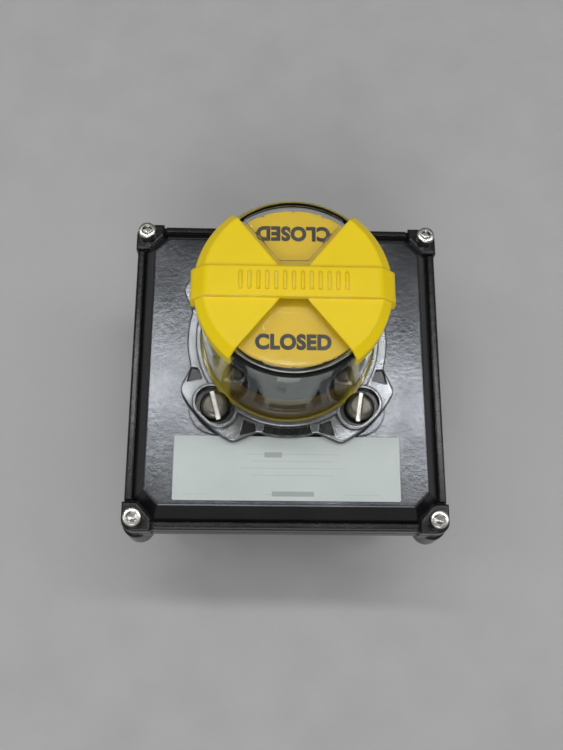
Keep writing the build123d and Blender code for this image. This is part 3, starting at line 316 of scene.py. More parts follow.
def finish_material(name, colour, roughness, metallic=0.0, wear_and_glint_colour=None, recess_shade_colour=None, bump=0.0,
                    grain=1200.0, wave=300.0, wave_share=0.5, tone=0.12, edge=0.0004,
                    wear=0.3, dust=0.0, recess_shade=0.0, **shader_values):
    """A procedural material: toned base, edges tinted for real rubbing and painted glints, painted shade in
    recesses, dust and fine bump.

    colour and metallic may be socket makers that take the tree, for a pattern.
    """
    material = bpy.data.materials.new(name)
    material.use_nodes = True
    tree = material.node_tree
    tree.nodes.clear()
    metal = metallic(tree) if callable(metallic) else metallic
    shader = node(tree, "ShaderNodeBsdfPrincipled", {"Metallic": metal})
    out = node(tree, "ShaderNodeOutputMaterial")
    wire(tree, shader.outputs[0], out.inputs["Surface"])
    for key, value in shader_values.items():
        shader.inputs[key.replace("_", " ")].default_value = value

    texture = shared(tree, "Fine Grain", grain_scale=grain, wave_scale=wave, wave_share=wave_share)
    if callable(colour):
        base = colour(tree)
    else:
        drift = ramp(tree, texture["Tone"], 0.3, 0.7)
        base = blend_colour(tree, drift, rgba(colour, 1 - tone), rgba(colour, 1 + tone))
    edges = shared(tree, "Wear And Glint Edges", radius=edge, amount=wear)
    # Lighter edge tint: real rubbing on most finishes, a painted highlight on the cap and painted glints on the
    # plating.
    if wear_and_glint_colour is not None:
        base = blend_colour(tree, edges["Mask"], base, rgba(wear_and_glint_colour))
    # Painted shade: recesses darkened through the ambient occlusion mask.
    if recess_shade:
        base = blend_colour(tree, shared(tree, "Recess Shade", amount=recess_shade)["Mask"], base,
                            rgba(recess_shade_colour or (0.03, 0.028, 0.025)))
    rough = ramp(tree, texture["Tone"], 0.3, 0.7, roughness * 0.85, roughness * 1.15)
    if dust:
        settled = shared(tree, "Settled Dust", amount=dust)["Mask"]
        base = blend_colour(tree, settled, base, (0.42, 0.41, 0.39, 1.0))
        rough = maths(tree, "ADD", rough, maths(tree, "MULTIPLY", settled, 0.6), clamp=True)
    wire(tree, base, shader.inputs["Base Color"])
    wire(tree, rough, shader.inputs["Roughness"])
    relief = node(tree, "ShaderNodeBump", {"Strength": 1.0, "Distance": bump,
                                           "Height": texture["Height"], "Normal": edges["Normal"]})
    wire(tree, relief.outputs[0], shader.inputs["Normal"])
    return material


def clear_material(name):
    """Clear moulded plastic that lets the lamps reach what stands behind it."""
    material = finish_material(name, (0.965, 0.97, 0.96), 0.03, bump=0.00001, wave=120.0,
                               wave_share=0.8, tone=0.01, edge=0.0003, wear=0.0,
                               Transmission_Weight=1.0, IOR=1.36)
    tree = material.node_tree
    shader = next(n for n in tree.nodes if n.type == "BSDF_PRINCIPLED")
    out = next(n for n in tree.nodes if n.type == "OUTPUT_MATERIAL")
    path = node(tree, "ShaderNodeLightPath")
    passing = maths(tree, "MAXIMUM", path.outputs["Is Shadow Ray"], path.outputs["Is Diffuse Ray"])
    through = node(tree, "ShaderNodeBsdfTransparent", {"Color": (0.93, 0.935, 0.92, 1.0)})
    mixed = node(tree, "ShaderNodeMixShader", {0: passing, 1: shader.outputs[0],
                                               2: through.outputs[0]})
    wire(tree, mixed.outputs[0], out.inputs["Surface"])
    return material


def dress(material, *names):
    """Give CAD nodes a material."""
    for name in names:
        slots = NODES[name].material_slots
        for slot in slots:
            slot.material = material
        if not slots:
            NODES[name].data.materials.append(material)


# ---------------------------------------------------------------- mesh helpers
def new_object(name, data):
    """An object at the origin, linked to the scene."""
    made = bpy.data.objects.new(name, data)
    bpy.context.scene.collection.objects.link(made)
    return made


def mesh_object(name, points, faces, smooth=True):
    """An object at the origin, from points in metres, with its faces turned outwards."""
    mesh = bpy.data.meshes.new(name)
    mesh.from_pydata([tuple(p) for p in points], [], faces)
    shape = bmesh.new()
    shape.from_mesh(mesh)
    bmesh.ops.remove_doubles(shape, verts=shape.verts, dist=1e-7)
    bmesh.ops.recalc_face_normals(shape, faces=shape.faces)
    shape.to_mesh(mesh)
    shape.free()
    if smooth:
        mesh.shade_smooth()
        mesh.set_sharp_from_angle(angle=radians(32))
    return new_object(name, mesh)


def lathe_rings(rings):
    """Points and faces of stacked closed rings; the first and last ring are capped."""
    count = len(rings[0])
    points = [p for ring in rings for p in ring]
    faces = []
    for level in range(len(rings) - 1):
        for step in range(count):
            a = level * count + step
            b = level * count + (step + 1) % count
            faces.append((a, b, b + count, a + count))
    faces.append(tuple(reversed(range(count))))
    faces.append(tuple(range((len(rings) - 1) * count, len(rings) * count)))
    return points, faces


def ring(radius, height, count):
    """One ring; radius is a number or a function of the angle."""
    made = []
    for step in range(count):
        angle = 2 * pi * step / count
        r = radius(angle) if callable(radius) else radius
        made.append(Vector((r * cos(angle), r * sin(angle), height)))
    return made


def place_points(name, places):
    """Loose vertices that carry a turn, for a tree that copies a part to them."""
    mesh = bpy.data.meshes.new(name)
    mesh.from_pydata([tuple(place[0]) for place in places], [], [])
    turn = mesh.attributes.new("turn", "FLOAT", "POINT")
    turn.data.foreach_set("value", [place[1] for place in places])
    return new_object(name, mesh)


def geometry_tree(name, inputs):
    """An empty geometry tree with named inputs; returns tree, input node and output node."""
    tree = bpy.data.node_groups.new(name, "GeometryNodeTree")
    socket(tree, "Geometry", "NodeSocketGeometry")
    for label, kind, default in inputs:
        socket(tree, label, kind, default=default)
    socket(tree, "Material", "NodeSocketMaterial")
    socket(tree, "Geometry", "NodeSocketGeometry", "OUTPUT")
    return tree, tree.nodes.new("NodeGroupInput"), tree.nodes.new("NodeGroupOutput")


def end_tree(tree, given, result, geometry):
    """Realize the copies and give them the material."""
    real = node(tree, "GeometryNodeRealizeInstances", {"Geometry": geometry})
    made = node(tree, "GeometryNodeSetMaterial", {"Geometry": real.outputs[0],
                                                  "Material": given.outputs["Material"]})
    wire(tree, made.outputs[0], result.inputs[0])


def copies_tree():
    """Copy one part to every point, turned by the point's own angle."""
    tree, given, result = geometry_tree(
        "Copies At Points", [("Part", "NodeSocketObject", None), ("Size", "NodeSocketFloat", 1.0)])
    part = node(tree, "GeometryNodeObjectInfo", {"Object": given.outputs["Part"]},
                transform_space="ORIGINAL")
    turn = node(tree, "GeometryNodeInputNamedAttribute", {"Name": "turn"}, data_type="FLOAT")
    angles = node(tree, "ShaderNodeCombineXYZ", {"Z": turn.outputs["Attribute"]})
    copies = node(tree, "GeometryNodeInstanceOnPoints",
                  {"Points": given.outputs["Geometry"], "Instance": part.outputs["Geometry"],
                   "Rotation": angles.outputs[0], "Scale": given.outputs["Size"]})
    end_tree(tree, given, result, copies.outputs[0])
    return tree


def thread_tree():
    """A helical ridge on the Z axis, from its pitch, turns, radius and depth."""
    tree, given, result = geometry_tree(
        "Helical Thread",
        [("Radius", "NodeSocketFloat", 0.012), ("Pitch", "NodeSocketFloat", 0.0018),
         ("Turns", "NodeSocketFloat", 4.0), ("Depth", "NodeSocketFloat", 0.001),
         ("Steps", "NodeSocketInt", 48)])
    tall = maths(tree, "MULTIPLY", given.outputs["Pitch"], given.outputs["Turns"])
    line = node(tree, "GeometryNodeCurveSpiral",
                {"Resolution": given.outputs["Steps"], "Rotations": given.outputs["Turns"],
                 "Start Radius": given.outputs["Radius"], "End Radius": given.outputs["Radius"],
                 "Height": tall})
    profile = node(tree, "GeometryNodeCurvePrimitiveCircle",
                   {"Resolution": 4, "Radius": given.outputs["Depth"]}, mode="RADIUS")
    ridge = node(tree, "GeometryNodeCurveToMesh",
                 {"Curve": line.outputs[0], "Profile Curve": profile.outputs[0], "Fill Caps": True})
    end_tree(tree, given, result, ridge.outputs[0])
    return tree


def ridge_arc_tree():
    """Copies of a ridge along an arc, each pointing away from the Z axis."""
    tree, given, result = geometry_tree(
        "Ridge Arc",
        [("Part", "NodeSocketObject", None), ("Count", "NodeSocketInt", 20),
         ("Radius", "NodeSocketFloat", 0.036), ("Span", "NodeSocketFloat", 0.5),
         ("Middle", "NodeSocketFloat", -pi / 2), ("Height", "NodeSocketFloat", 0.08)])
    part = node(tree, "GeometryNodeObjectInfo", {"Object": given.outputs["Part"]},
                transform_space="ORIGINAL")
    line = node(tree, "GeometryNodeMeshLine", {"Count": given.outputs["Count"],
                                               "Offset": (0.0, 0.0, 0.0)})
    step = node(tree, "GeometryNodeInputIndex").outputs[0]
    last = maths(tree, "SUBTRACT", given.outputs["Count"], 1.0)
    share = maths(tree, "SUBTRACT", maths(tree, "DIVIDE", step, last), 0.5)
    angle = maths(tree, "ADD", maths(tree, "MULTIPLY", share, given.outputs["Span"]),
                  given.outputs["Middle"])
    radius = given.outputs["Radius"]
    spot = node(tree, "ShaderNodeCombineXYZ",
                {"X": maths(tree, "MULTIPLY", maths(tree, "COSINE", angle), radius),
                 "Y": maths(tree, "MULTIPLY", maths(tree, "SINE", angle), radius),
                 "Z": given.outputs["Height"]})
    placed = node(tree, "GeometryNodeSetPosition", {"Geometry": line.outputs[0],
                                                    "Position": spot.outputs[0]})
    turned = node(tree, "ShaderNodeCombineXYZ", {"Z": angle})
    copies = node(tree, "GeometryNodeInstanceOnPoints",
                  {"Points": placed.outputs[0], "Instance": part.outputs["Geometry"],
                   "Rotation": turned.outputs[0]})
    end_tree(tree, given, result, copies.outputs[0])
    return tree


TREE_MAKERS = {"Copies At Points": copies_tree, "Helical Thread": thread_tree,
               "Ridge Arc": ridge_arc_tree}


def grow(name, tree_name, carrier, material, **inputs):
    """Run a geometry tree on a carrier object and keep the result as one plain mesh."""
    tree = bpy.data.node_groups.get(tree_name) or TREE_MAKERS[tree_name]()
    modifier = carrier.modifiers.new("grow", "NODES")
    modifier.node_group = tree
    wanted = {key.replace("_", " ").title(): value for key, value in inputs.items()}
    wanted["Material"] = material
    for item in tree.interface.items_tree:
        if item.in_out == "INPUT" and item.name in wanted:
            modifier[item.identifier] = wanted[item.name]
    bpy.context.view_layer.update()
    graph = bpy.context.evaluated_depsgraph_get()
    mesh = bpy.data.meshes.new_from_object(carrier.evaluated_get(graph))
    carrier.modifiers.remove(modifier)
    mesh.name = name
    mesh.materials.clear()
    mesh.materials.append(material)
    mesh.polygons.foreach_set("material_index", [0] * len(mesh.polygons))
    if not mesh.polygons:
        raise RuntimeError(f"{tree_name} gave {name} no faces")
    return new_object(name, mesh)


def discard(*objects):
    """Remove helper objects once their pieces are made."""
    for thing in objects:
        bpy.data.objects.remove(thing)


def merged(name, objects):
    """Join plain mesh objects into one object at the origin."""
    shape = bmesh.new()
    materials = []
    for thing in objects:
        start = len(shape.faces)
        shape.from_mesh(thing.data)
        shape.faces.ensure_lookup_table()
        for face in shape.faces[start:]:
            material = thing.data.materials[face.material_index]
            if material not in materials:
                materials.append(material)
            face.material_index = materials.index(material)
    mesh = bpy.data.meshes.new(name)
    shape.to_mesh(mesh)
    shape.free()
    for material in materials:
        mesh.materials.append(material)
    discard(*objects)
    return new_object(name, mesh)


def settle(piece, body, slot, *replaced):
    """Let a finished piece ride on a body and hide the parts it replaces; slot is not used."""
    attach(piece, body)
    if replaced:
        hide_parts(*replaced)
    return piece


def material_named(name, maker):
    """The material of that name, made at its first use."""
    return bpy.data.materials.get(name) or maker()


def stainless():
    """Stainless steel of screws, shaft and spring."""
    colours = settings().finish
    return material_named("stainless_steel", lambda: finish_material(
        "stainless_steel", tuple(colours.steel), 0.24, metallic=1.0, wear_and_glint_colour=(0.8, 0.79, 0.77),
        bump=0.000012, grain=2600.0, wave=900.0, wave_share=0.3, tone=0.10, wear=0.6, recess_shade=0.45))


def black_coat():
    """Wrinkled black coat, whose flat lid panel gets a metallic grey as a painted sheen."""
    colours = settings().finish
    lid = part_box("nameplate")[0].z

    def painted_shine(tree):
        """Painted sheen mask: one on the flat panel of the lid, nothing on its slopes and walls."""
        return ramp(tree, object_axes(tree)["Z"], lid - 0.45 * MM, lid - 0.1 * MM)

    def black(tree):
        """Black, lifted to the painted sheen on the panel."""
        plain = mottled(tree, colours.coat, 0.75, 1.3, 60.0, 4.0, 0.6)
        sheen = mottled(tree, colours.sheen, 0.82, 1.12, 60.0, 4.0, 0.6)
        return blend_colour(tree, painted_shine(tree), plain, sheen)

    return material_named("wrinkled_coat", lambda: finish_material(
        "wrinkled_coat", black, 0.20, metallic=painted_shine, wear_and_glint_colour=(0.045, 0.045, 0.047), bump=0.00005,
        grain=1500.0, wave=480.0, wave_share=0.85, edge=0.0007,
        wear=colours.wear, dust=colours.dust, Specular_IOR_Level=0.4))


def bright_plating():
    """Bright plating, dark in the pockets and bands below the plate's face as painted shade, with painted glints
    along its edges.
    """
    colours = settings().finish
    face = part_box("retaining_flange")[0].z + FLANGE_FACE

    def sunk(tree):
        """Plating colour, with painted shade wherever the casting lies below its face."""
        low = ramp(tree, object_axes(tree)["Z"], face - 0.15 * MM, face - 0.40 * MM)
        plain = mottled(tree, colours.chrome, 0.85, 1.12, 140.0, 4.0, 0.6)
        return blend_colour(tree, low, plain, (0.065, 0.068, 0.072, 1.0))

    return material_named("bright_plating", lambda: finish_material(
        "bright_plating", sunk, 0.28, metallic=1.0, wear_and_glint_colour=(0.85, 0.86, 0.87),
        bump=0.00014, grain=1100.0, wave=330.0, wave_share=0.75, edge=0.0006,
        wear=0.8, recess_shade=0.85, recess_shade_colour=(0.05, 0.05, 0.05)))


def dulled_plating():
    """The same plating in the toothed band, where grease has kept it dull."""
    return material_named("dulled_plating", lambda: finish_material(
        "dulled_plating", (0.30, 0.31, 0.32), 0.38, metallic=1.0, wear_and_glint_colour=(0.20, 0.205, 0.21),
        bump=0.00006, grain=1400.0, wave=500.0, wave_share=0.5, tone=0.25, edge=0.00012,
        wear=0.0, recess_shade=0.8, recess_shade_colour=(0.03, 0.03, 0.03)))


def cap_plastic():
    """Opaque glossy yellow of the cap, paler along its edges as a painted highlight."""
    colours = settings().finish
    return material_named("cap_plastic", lambda: finish_material(
        "cap_plastic", tuple(colours.cap), 0.33, wear_and_glint_colour=(1.0, 0.84, 0.25), bump=0.00002,
        grain=900.0, wave=160.0, wave_share=0.7, tone=0.035, edge=0.0011, wear=0.9,
        Subsurface_Weight=0.12, Subsurface_Radius=(0.004, 0.002, 0.0005), IOR=1.5,
        Specular_IOR_Level=0.2))


# ---------------------------------------------------------------- operators
class SWITCHBOX_OT_case(bpy.types.Operator):
    """Coat the case and its gaskets"""
    bl_idname = "switchbox.case"
    bl_label = "Case finish"

    def execute(self, context):
        dress(black_coat(), "housing", "cover")
        rubber = finish_material("gasket_rubber", (0.022, 0.022, 0.022), 0.75, bump=0.00003,
                                 grain=2500.0, wear=0.3, wear_and_glint_colour=(0.05, 0.05, 0.05), dust=0.2)
        dress(rubber, "cover_gasket", "dome_gasket", "shaft_oring")
        return {"FINISHED"}


class SWITCHBOX_OT_cover_screws(bpy.types.Operator):
    """Socket head screws with knurled sides in the four ears"""
    bl_idname = "switchbox.cover_screws"
    bl_label = "Cover screws"

    def execute(self, context):
        sizes = settings().sizes
        low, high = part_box("cover_screws")
        top, head_r = high.z, sizes.head_radius
        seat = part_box("cover")[0].z + 5.6 * MM
        half = sizes.socket_width / 2
        steps = sizes.knurls * 4
        hexagon = lambda a: half / cos((a + pi / 6) % (pi / 3) - pi / 6)
        knurl = lambda a: head_r * (1 - 0.028 * abs(sin(a * sizes.knurls / 2)))
        shank = 2.0 * MM
        # Radius and height of each ring, up the shank and head and down into the socket.
        levels = [(shank, low.z + 0.8 * MM), (shank, seat), (head_r * 0.93, seat),
                  (knurl, seat + 0.35 * MM), (knurl, top - 1.15 * MM),
                  (head_r * 0.985, top - 0.75 * MM), (head_r * 0.97, top - 0.4 * MM),
                  (head_r * 0.90, top - 0.08 * MM), (head_r * 0.84, top),
                  (lambda a: hexagon(a) + 0.14 * MM, top), (hexagon, top - 0.16 * MM),
                  (hexagon, top - 2.1 * MM), (0.4 * MM, top - 2.6 * MM)]
        points, faces = lathe_rings([ring(r, z, steps) for r, z in levels])
        screw = mesh_object("one_cover_screw", points, faces)
        middle = (low + high) / 2
        half_x = (high.x - low.x) / 2 - head_r
        half_y = (high.y - low.y) / 2 - head_r
        places = [((middle.x + sx * half_x, middle.y + sy * half_y, 0.0), turn)
                  for sx, sy, turn in ((-1, -1, 0.3), (1, -1, 1.1), (1, 1, 0.75), (-1, 1, 0.1))]
        carrier = place_points("cover_screw_places", places)
        made = grow("cover_screw_heads", "Copies At Points", carrier, stainless(), part=screw)
        discard(screw, carrier)
        settle(made, "case", "stainless", "cover_screws")
        return {"FINISHED"}


class SWITCHBOX_OT_nameplate(bpy.types.Operator):
    """Blank nameplate with ruled fields"""
    bl_idname = "switchbox.nameplate"
    bl_label = "Nameplate"

    def execute(self, context):
        low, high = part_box("nameplate")
        middle = (low + high) / 2
        ground = tuple(settings().finish.plate)
        # Centre x and y, width and height of each rule and each filled field, in millimetres.
        rules = ((2, 5.2, 34, 0.16), (2, 2.6, 30, 0.16), (2, 0.0, 38, 0.16), (2, -2.6, 30, 0.16),
                 (-33, -9.6, 9, 0.14), (27, -9.6, 13, 0.14), (-5.4, -9.6, 4, 0.14))
        fields = ((-5.0, 4.95, 6.4, 1.9), (2.2, -9.4, 15.2, 1.8))

        def ruled(tree):
            """Ground colour with faint rules and two filled fields, where print would stand."""
            spot = object_axes(tree)
            x = maths(tree, "SUBTRACT", spot["X"], middle.x)
            y = maths(tree, "SUBTRACT", spot["Y"], middle.y)

            def inside(value, centre, reach):
                away = maths(tree, "ABSOLUTE", maths(tree, "SUBTRACT", value, centre))
                return maths(tree, "LESS_THAN", away, reach)

            def printed(boxes, strength):
                ink = 0.0
                for cx, cy, wide, tall in boxes:
                    box = maths(tree, "MULTIPLY", inside(x, cx * MM, wide * MM / 2),
                                inside(y, cy * MM, tall * MM / 2))
                    ink = maths(tree, "MAXIMUM", ink, box)
                return maths(tree, "MULTIPLY", ink, strength)

            ink = maths(tree, "MAXIMUM", printed(rules, 0.42), printed(fields, 0.55))
            paint = mottled(tree, ground, 0.95, 1.04, 40.0)
            return blend_colour(tree, ink, paint, (0.16, 0.18, 0.18, 1.0))

        plate = finish_material("plate_enamel", ruled, 0.34, bump=0.000012, grain=1800.0,
                                wave=200.0, wave_share=0.5, edge=0.0003, wear=0.4,
                                wear_and_glint_colour=(0.45, 0.46, 0.45), dust=0.10, Coat_Weight=0.2)
        dress(plate, "nameplate")
        return {"FINISHED"}


class SWITCHBOX_OT_flange(bpy.types.Operator):
    """Plated retaining flange with its serrated arcs and slotted screws"""
    bl_idname = "switchbox.flange"
    bl_label = "Retaining flange"

    def execute(self, context):
        sizes = settings().sizes
        dress(bright_plating(), "retaining_flange")
        band_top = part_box("retaining_flange")[0].z + FLANGE_BAND
        sunk, tooth_circle = 0.03 * MM, 36.0 * MM
        half_w, half_l, tall = 0.26 * MM, 1.3 * MM, 0.55 * MM
        crest = half_l - 0.25 * MM
        points = [(-half_l, -half_w, 0), (half_l, -half_w, 0), (half_l, half_w, 0),
                  (-half_l, half_w, 0), (-crest, 0, tall), (crest, 0, tall)]
        faces = [(0, 3, 2, 1), (0, 1, 5, 4), (2, 3, 4, 5), (1, 2, 5), (3, 0, 4)]
        tooth = mesh_object("one_tooth", points, faces, smooth=False)
        arcs = []
        for middle in (-pi / 2, pi / 2):
            carrier = place_points("arc_carrier", [((0, 0, 0), 0.0)])
            arcs.append(grow("tooth_arc", "Ridge Arc", carrier, dulled_plating(), part=tooth,
                             count=sizes.teeth, radius=tooth_circle, span=radians(26),
                             middle=middle, height=band_top - sunk))
            discard(carrier)
        discard(tooth)
        settle(merged("flange_serration", arcs), "beacon", "chrome")
        slot_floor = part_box("flange_screws")[1].z - 1.6 * MM
        dull = tuple(settings().finish.iron)

        def bright_slots(tree):
            """Dull heads whose slot floors carry a painted reflection of the lamp, as a pale colour."""
            up = object_axes(tree)["Z"]
            painted_shine = maths(tree, "MULTIPLY", ramp(tree, up, slot_floor + 0.1 * MM, slot_floor),
                           ramp(tree, facing_up(tree), 0.95, 0.99))
            plain = mottled(tree, dull, 0.7, 1.25, 300.0, 4.0, 0.6)
            return blend_colour(tree, painted_shine, plain, (0.86, 0.85, 0.82, 1.0))

        iron = finish_material("oiled_steel", bright_slots, 0.32, metallic=1.0,
                               wear_and_glint_colour=(0.62, 0.60, 0.56), bump=0.00002, grain=2400.0, wave=700.0,
                               wave_share=0.35, wear=0.5, edge=0.0004, recess_shade=0.5)
        dress(iron, "flange_screws")
        return {"FINISHED"}


class SWITCHBOX_OT_beacon(bpy.types.Operator):
    """Clear dome, yellow mask and opaque cap with raised ribs on its strap"""
    bl_idname = "switchbox.beacon"
    bl_label = "Beacon"

    def execute(self, context):
        colours, sizes = settings().finish, settings().sizes
        dress(clear_material("clear_moulding"), "dome")
        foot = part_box("window_mask")[0].z

        def banded(tree):
            """Yellow flanks and foot line, and painted shade across the windows, where the yellow is darkened to
            amber.
            """
            spot = object_axes(tree)
            flank = ramp(tree, maths(tree, "ABSOLUTE", spot["X"]), 19.5 * MM, 21.0 * MM)
            line = ramp(tree, spot["Z"], foot + 1.1 * MM, foot + 0.7 * MM)
            bright = maths(tree, "MAXIMUM", flank, line)
            painted_shade = mottled(tree, colours.mask, 0.85, 1.2, 90.0)
            return blend_colour(tree, bright, painted_shade, (0.95, 0.78, 0.07, 1.0))

        mask = finish_material("mask_plastic", banded, 0.30, bump=0.00002,
                               grain=800.0, wave=150.0, wave_share=0.6, wear=0.15,
                               wear_and_glint_colour=(0.8, 0.66, 0.2), recess_shade=0.3, recess_shade_colour=(0.10, 0.06, 0.01),
                               Specular_IOR_Level=0.25)
        dress(mask, "window_mask")
        dress(cap_plastic(), "beacon_cap")
        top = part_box("beacon_cap")[1].z
        rib = rounded_bar("one_rib", 1.25 * MM, 6.4 * MM, 0.62 * MM, 0.40 * MM)
        pitch, ahead, sunk = 2.85 * MM, 0.2 * MM, 0.02 * MM
        places = [(((step - (sizes.ribs - 1) / 2) * pitch, ahead, top - sunk), 0.0)
                  for step in range(sizes.ribs)]
        carrier = place_points("rib_places", places)
        made = grow("strap_ribs", "Copies At Points", carrier, cap_plastic(), part=rib)
        discard(rib, carrier)
        settle(made, "beacon", "cap_yellow")
        return {"FINISHED"}


def rounded_bar(name, wide, long, tall, round_off):
    """A low bar with rounded ends and a crowned top, standing on z = 0."""
    steps = 24
    end = long / 2 - wide / 2
    rings = []
    for rise, inset in ((0.0, 0.0), (0.55, 0.04), (0.85, 0.16), (1.0, 0.42)):
        made = []
        for step in range(steps):
            angle = 2 * pi * step / steps
            side = wide / 2 - inset * round_off
            x = side * cos(angle)
            y = side * sin(angle) + (end if sin(angle) >= 0 else -end)
            made.append(Vector((x, y, rise * tall)))
        rings.append(made)
    points, faces = lathe_rings(rings)
    return mesh_object(name, points, faces)


def word_mesh(name, word, width, height, bold):
    """A flat word, centred on the origin, as a thin mesh in metres."""
    curve = bpy.data.curves.new(name, "FONT")
    curve.body = word
    curve.align_x, curve.align_y = "CENTER", "CENTER"
    curve.offset = bold
    curve.space_character = 1.07
    curve.extrude = 0.02
    holder = new_object(name, curve)
    bpy.context.view_layer.update()
    mesh = bpy.data.meshes.new_from_object(
        holder.evaluated_get(bpy.context.evaluated_depsgraph_get()))
    bpy.data.objects.remove(holder)
    xs = [v.co.x for v in mesh.vertices]
    ys = [v.co.y for v in mesh.vertices]
    centre = Vector(((min(xs) + max(xs)) / 2, (min(ys) + max(ys)) / 2, 0))
    scale = Matrix.Diagonal((width / (max(xs) - min(xs)), height / (max(ys) - min(ys)), MM, 1))
    mesh.transform(scale @ Matrix.Translation(-centre))
    return mesh


def words_round(name, word, places, size, bold, material):
    """One object with a copy of a word at each placing matrix."""
    shape = bmesh.new()
    for matrix in places:
        mesh = word_mesh(name, word, size[0], size[1], bold)
        mesh.transform(matrix)
        shape.from_mesh(mesh)
    mesh = bpy.data.meshes.new(name)
    bmesh.ops.remove_doubles(shape, verts=shape.verts, dist=1e-7)
    bmesh.ops.recalc_face_normals(shape, faces=shape.faces)
    shape.to_mesh(mesh)
    shape.free()
    mesh.materials.append(material)
    return new_object(name, mesh)


class SWITCHBOX_OT_indicator(bpy.types.Operator):
    """Two coloured rotor with its words, drum and screw"""
    bl_idname = "switchbox.indicator"
    bl_label = "Indicator rotor"

    def execute(self, context):
        colours, sizes = settings().finish, settings().sizes
        yellow, dark = tuple(colours.disc), tuple(colours.dark)
        soft = 0.04 * MM

        def painted(light, pattern):
            def paint(tree):
                """Light within the pattern's half width, dark beyond it."""
                spot = object_axes(tree)
                across = maths(tree, "ABSOLUTE", spot["X"])
                edge = pattern(tree, maths(tree, "ABSOLUTE", spot["Y"]), spot["Z"])
                mask = ramp(tree, maths(tree, "SUBTRACT", across, edge), -soft, soft)
                return blend_colour(tree, mask, mottled(tree, light, 0.94, 1.05, 50.0),
                                    rgba(dark))
            return paint

        def sectors(tree, along, up):
            """Half width of the light sectors fore and aft: their edges run at 45 degrees."""
            return along

        def panels(tree, along, up):
            """Half width of the light panels fore and aft, which narrow downwards."""
            return ramp(tree, up, 100 * MM, 126 * MM, 3.9 * MM, 9.6 * MM)

        disc = finish_material("disc_plastic", painted(yellow, sectors), 0.42, bump=0.00001,
                               grain=1500.0, wave=200.0, edge=0.0003, wear=0.2,
                               wear_and_glint_colour=(0.8, 0.7, 0.3))
        drum = finish_material("drum_plastic", painted(tuple(colours.drum), panels), 0.5,
                               bump=0.00001, grain=1500.0, wave=200.0, edge=0.0003, wear=0.2,
                               wear_and_glint_colour=(0.6, 0.6, 0.6))
        dress(disc, "indicator_disc")
        dress(drum, "indicator_drum")
        dress(stainless(), "indicator_screw", "indicator_spindle")
        ink = finish_material("black_ink", dark, 0.45, bump=0.000004, tone=0.1, wear=0.0)
        paint = finish_material("yellow_ink", yellow, 0.45, bump=0.000004, tone=0.04, wear=0.0)
        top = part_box("indicator_disc")[1].z
        radius, above = 19.0 * MM, 0.015 * MM
        tall = sizes.word_width * 0.225
        for name, word, share, turns, colour in (
                ("closed_words", "CLOSED", 1.0, (0, pi), ink),
                ("open_words", "OPEN", 0.72, (pi / 2, -pi / 2), paint)):
            places = [Matrix.Rotation(turn, 4, "Z") @ Matrix.Translation((0, -radius, top + above))
                      for turn in turns]
            words = words_round(name, word, places, (sizes.word_width * share, tall), 0.055, colour)
            settle(words, "shaft_assembly", "disc_yellow")
        return {"FINISHED"}


class SWITCHBOX_OT_conduit_threads(bpy.types.Operator):
    """Helical threads in the two conduit entries"""
    bl_idname = "switchbox.conduit_threads"
    bl_label = "Conduit threads"

    def execute(self, context):
        pitch = settings().sizes.thread_pitch
        lead, proud = 0.8 * MM, 0.15 * MM
        entries = [mount for mount in frame["record"]["mounts"]
                   if mount["name"].startswith("conduit_entry")]
        threads = []
        for entry in entries:
            carrier = place_points("thread_carrier", [((0, 0, 0), 0.0)])
            length = entry["dims"]["length_mm"] * MM - lead
            ridge = grow("one_thread", "Helical Thread", carrier, black_coat(),
                         radius=entry["dims"]["r_mm"] * MM - proud, pitch=pitch,
                         turns=(length - pitch) / pitch, depth=0.62 * MM, steps=40)
            discard(carrier)
            x, y, z = entry["pos_m"]
            ridge.data.transform(Matrix.Translation((x, y - length / 2 + pitch / 2, z))
                                 @ Matrix.Rotation(-pi / 2, 4, "X"))
            threads.append(ridge)
        settle(merged("conduit_threads", threads), "case", "black_coat")
        return {"FINISHED"}


class SWITCHBOX_OT_works(bpy.types.Operator):
    """Finishes of the shaft, cams, switches and terminals inside the case"""
    bl_idname = "switchbox.works"
    bl_label = "Works inside"

    def execute(self, context):
        dress(stainless(), "shaft", "shaft_clip", "cam_spring", "drive_pin", "bracket_screws",
              "switch_screws", "lever_pins", "terminal_screws", "strip_screws")
        # Name, colour, roughness and metallic of each plain finish, and what it goes on.
        plain = (
            ("sintered_bronze", (0.45, 0.31, 0.15), 0.42, 1.0,
             ("lower_bush", "spindle_bush")),
            ("terminal_brass", (0.72, 0.55, 0.24), 0.28, 1.0,
             ("switch_terminals", "terminal_clamps")),
            ("zinc_sheet", (0.56, 0.57, 0.58), 0.36, 1.0,
             ("switch_bracket", "cam_retainer", "closed_lever", "open_lever")),
            ("black_moulding", (0.028, 0.028, 0.03), 0.5, 0.0,
             ("closed_switch", "open_switch", "terminal_strip")),
            ("white_moulding", (0.74, 0.73, 0.68), 0.45, 0.0,
             ("cam_hub", "closed_roller", "open_roller")),
            ("red_moulding", (0.52, 0.04, 0.03), 0.42, 0.0,
             ("closed_cam", "closed_plunger", "open_plunger")),
            ("green_moulding", (0.03, 0.30, 0.09), 0.42, 0.0, ("open_cam",)),
            ("green_screw", (0.05, 0.30, 0.10), 0.38, 0.6, ("ground_screw",)),
        )
        for name, colour, roughness, metallic, names in plain:
            lighter = tuple(min(1.0, c * 1.5 + 0.03) for c in colour)
            dress(finish_material(name, colour, roughness, metallic=metallic, wear_and_glint_colour=lighter,
                                  bump=0.00002, grain=1700.0, wave=400.0, tone=0.12, wear=0.4,
                                  recess_shade=0.3), *names)
        return {"FINISHED"}


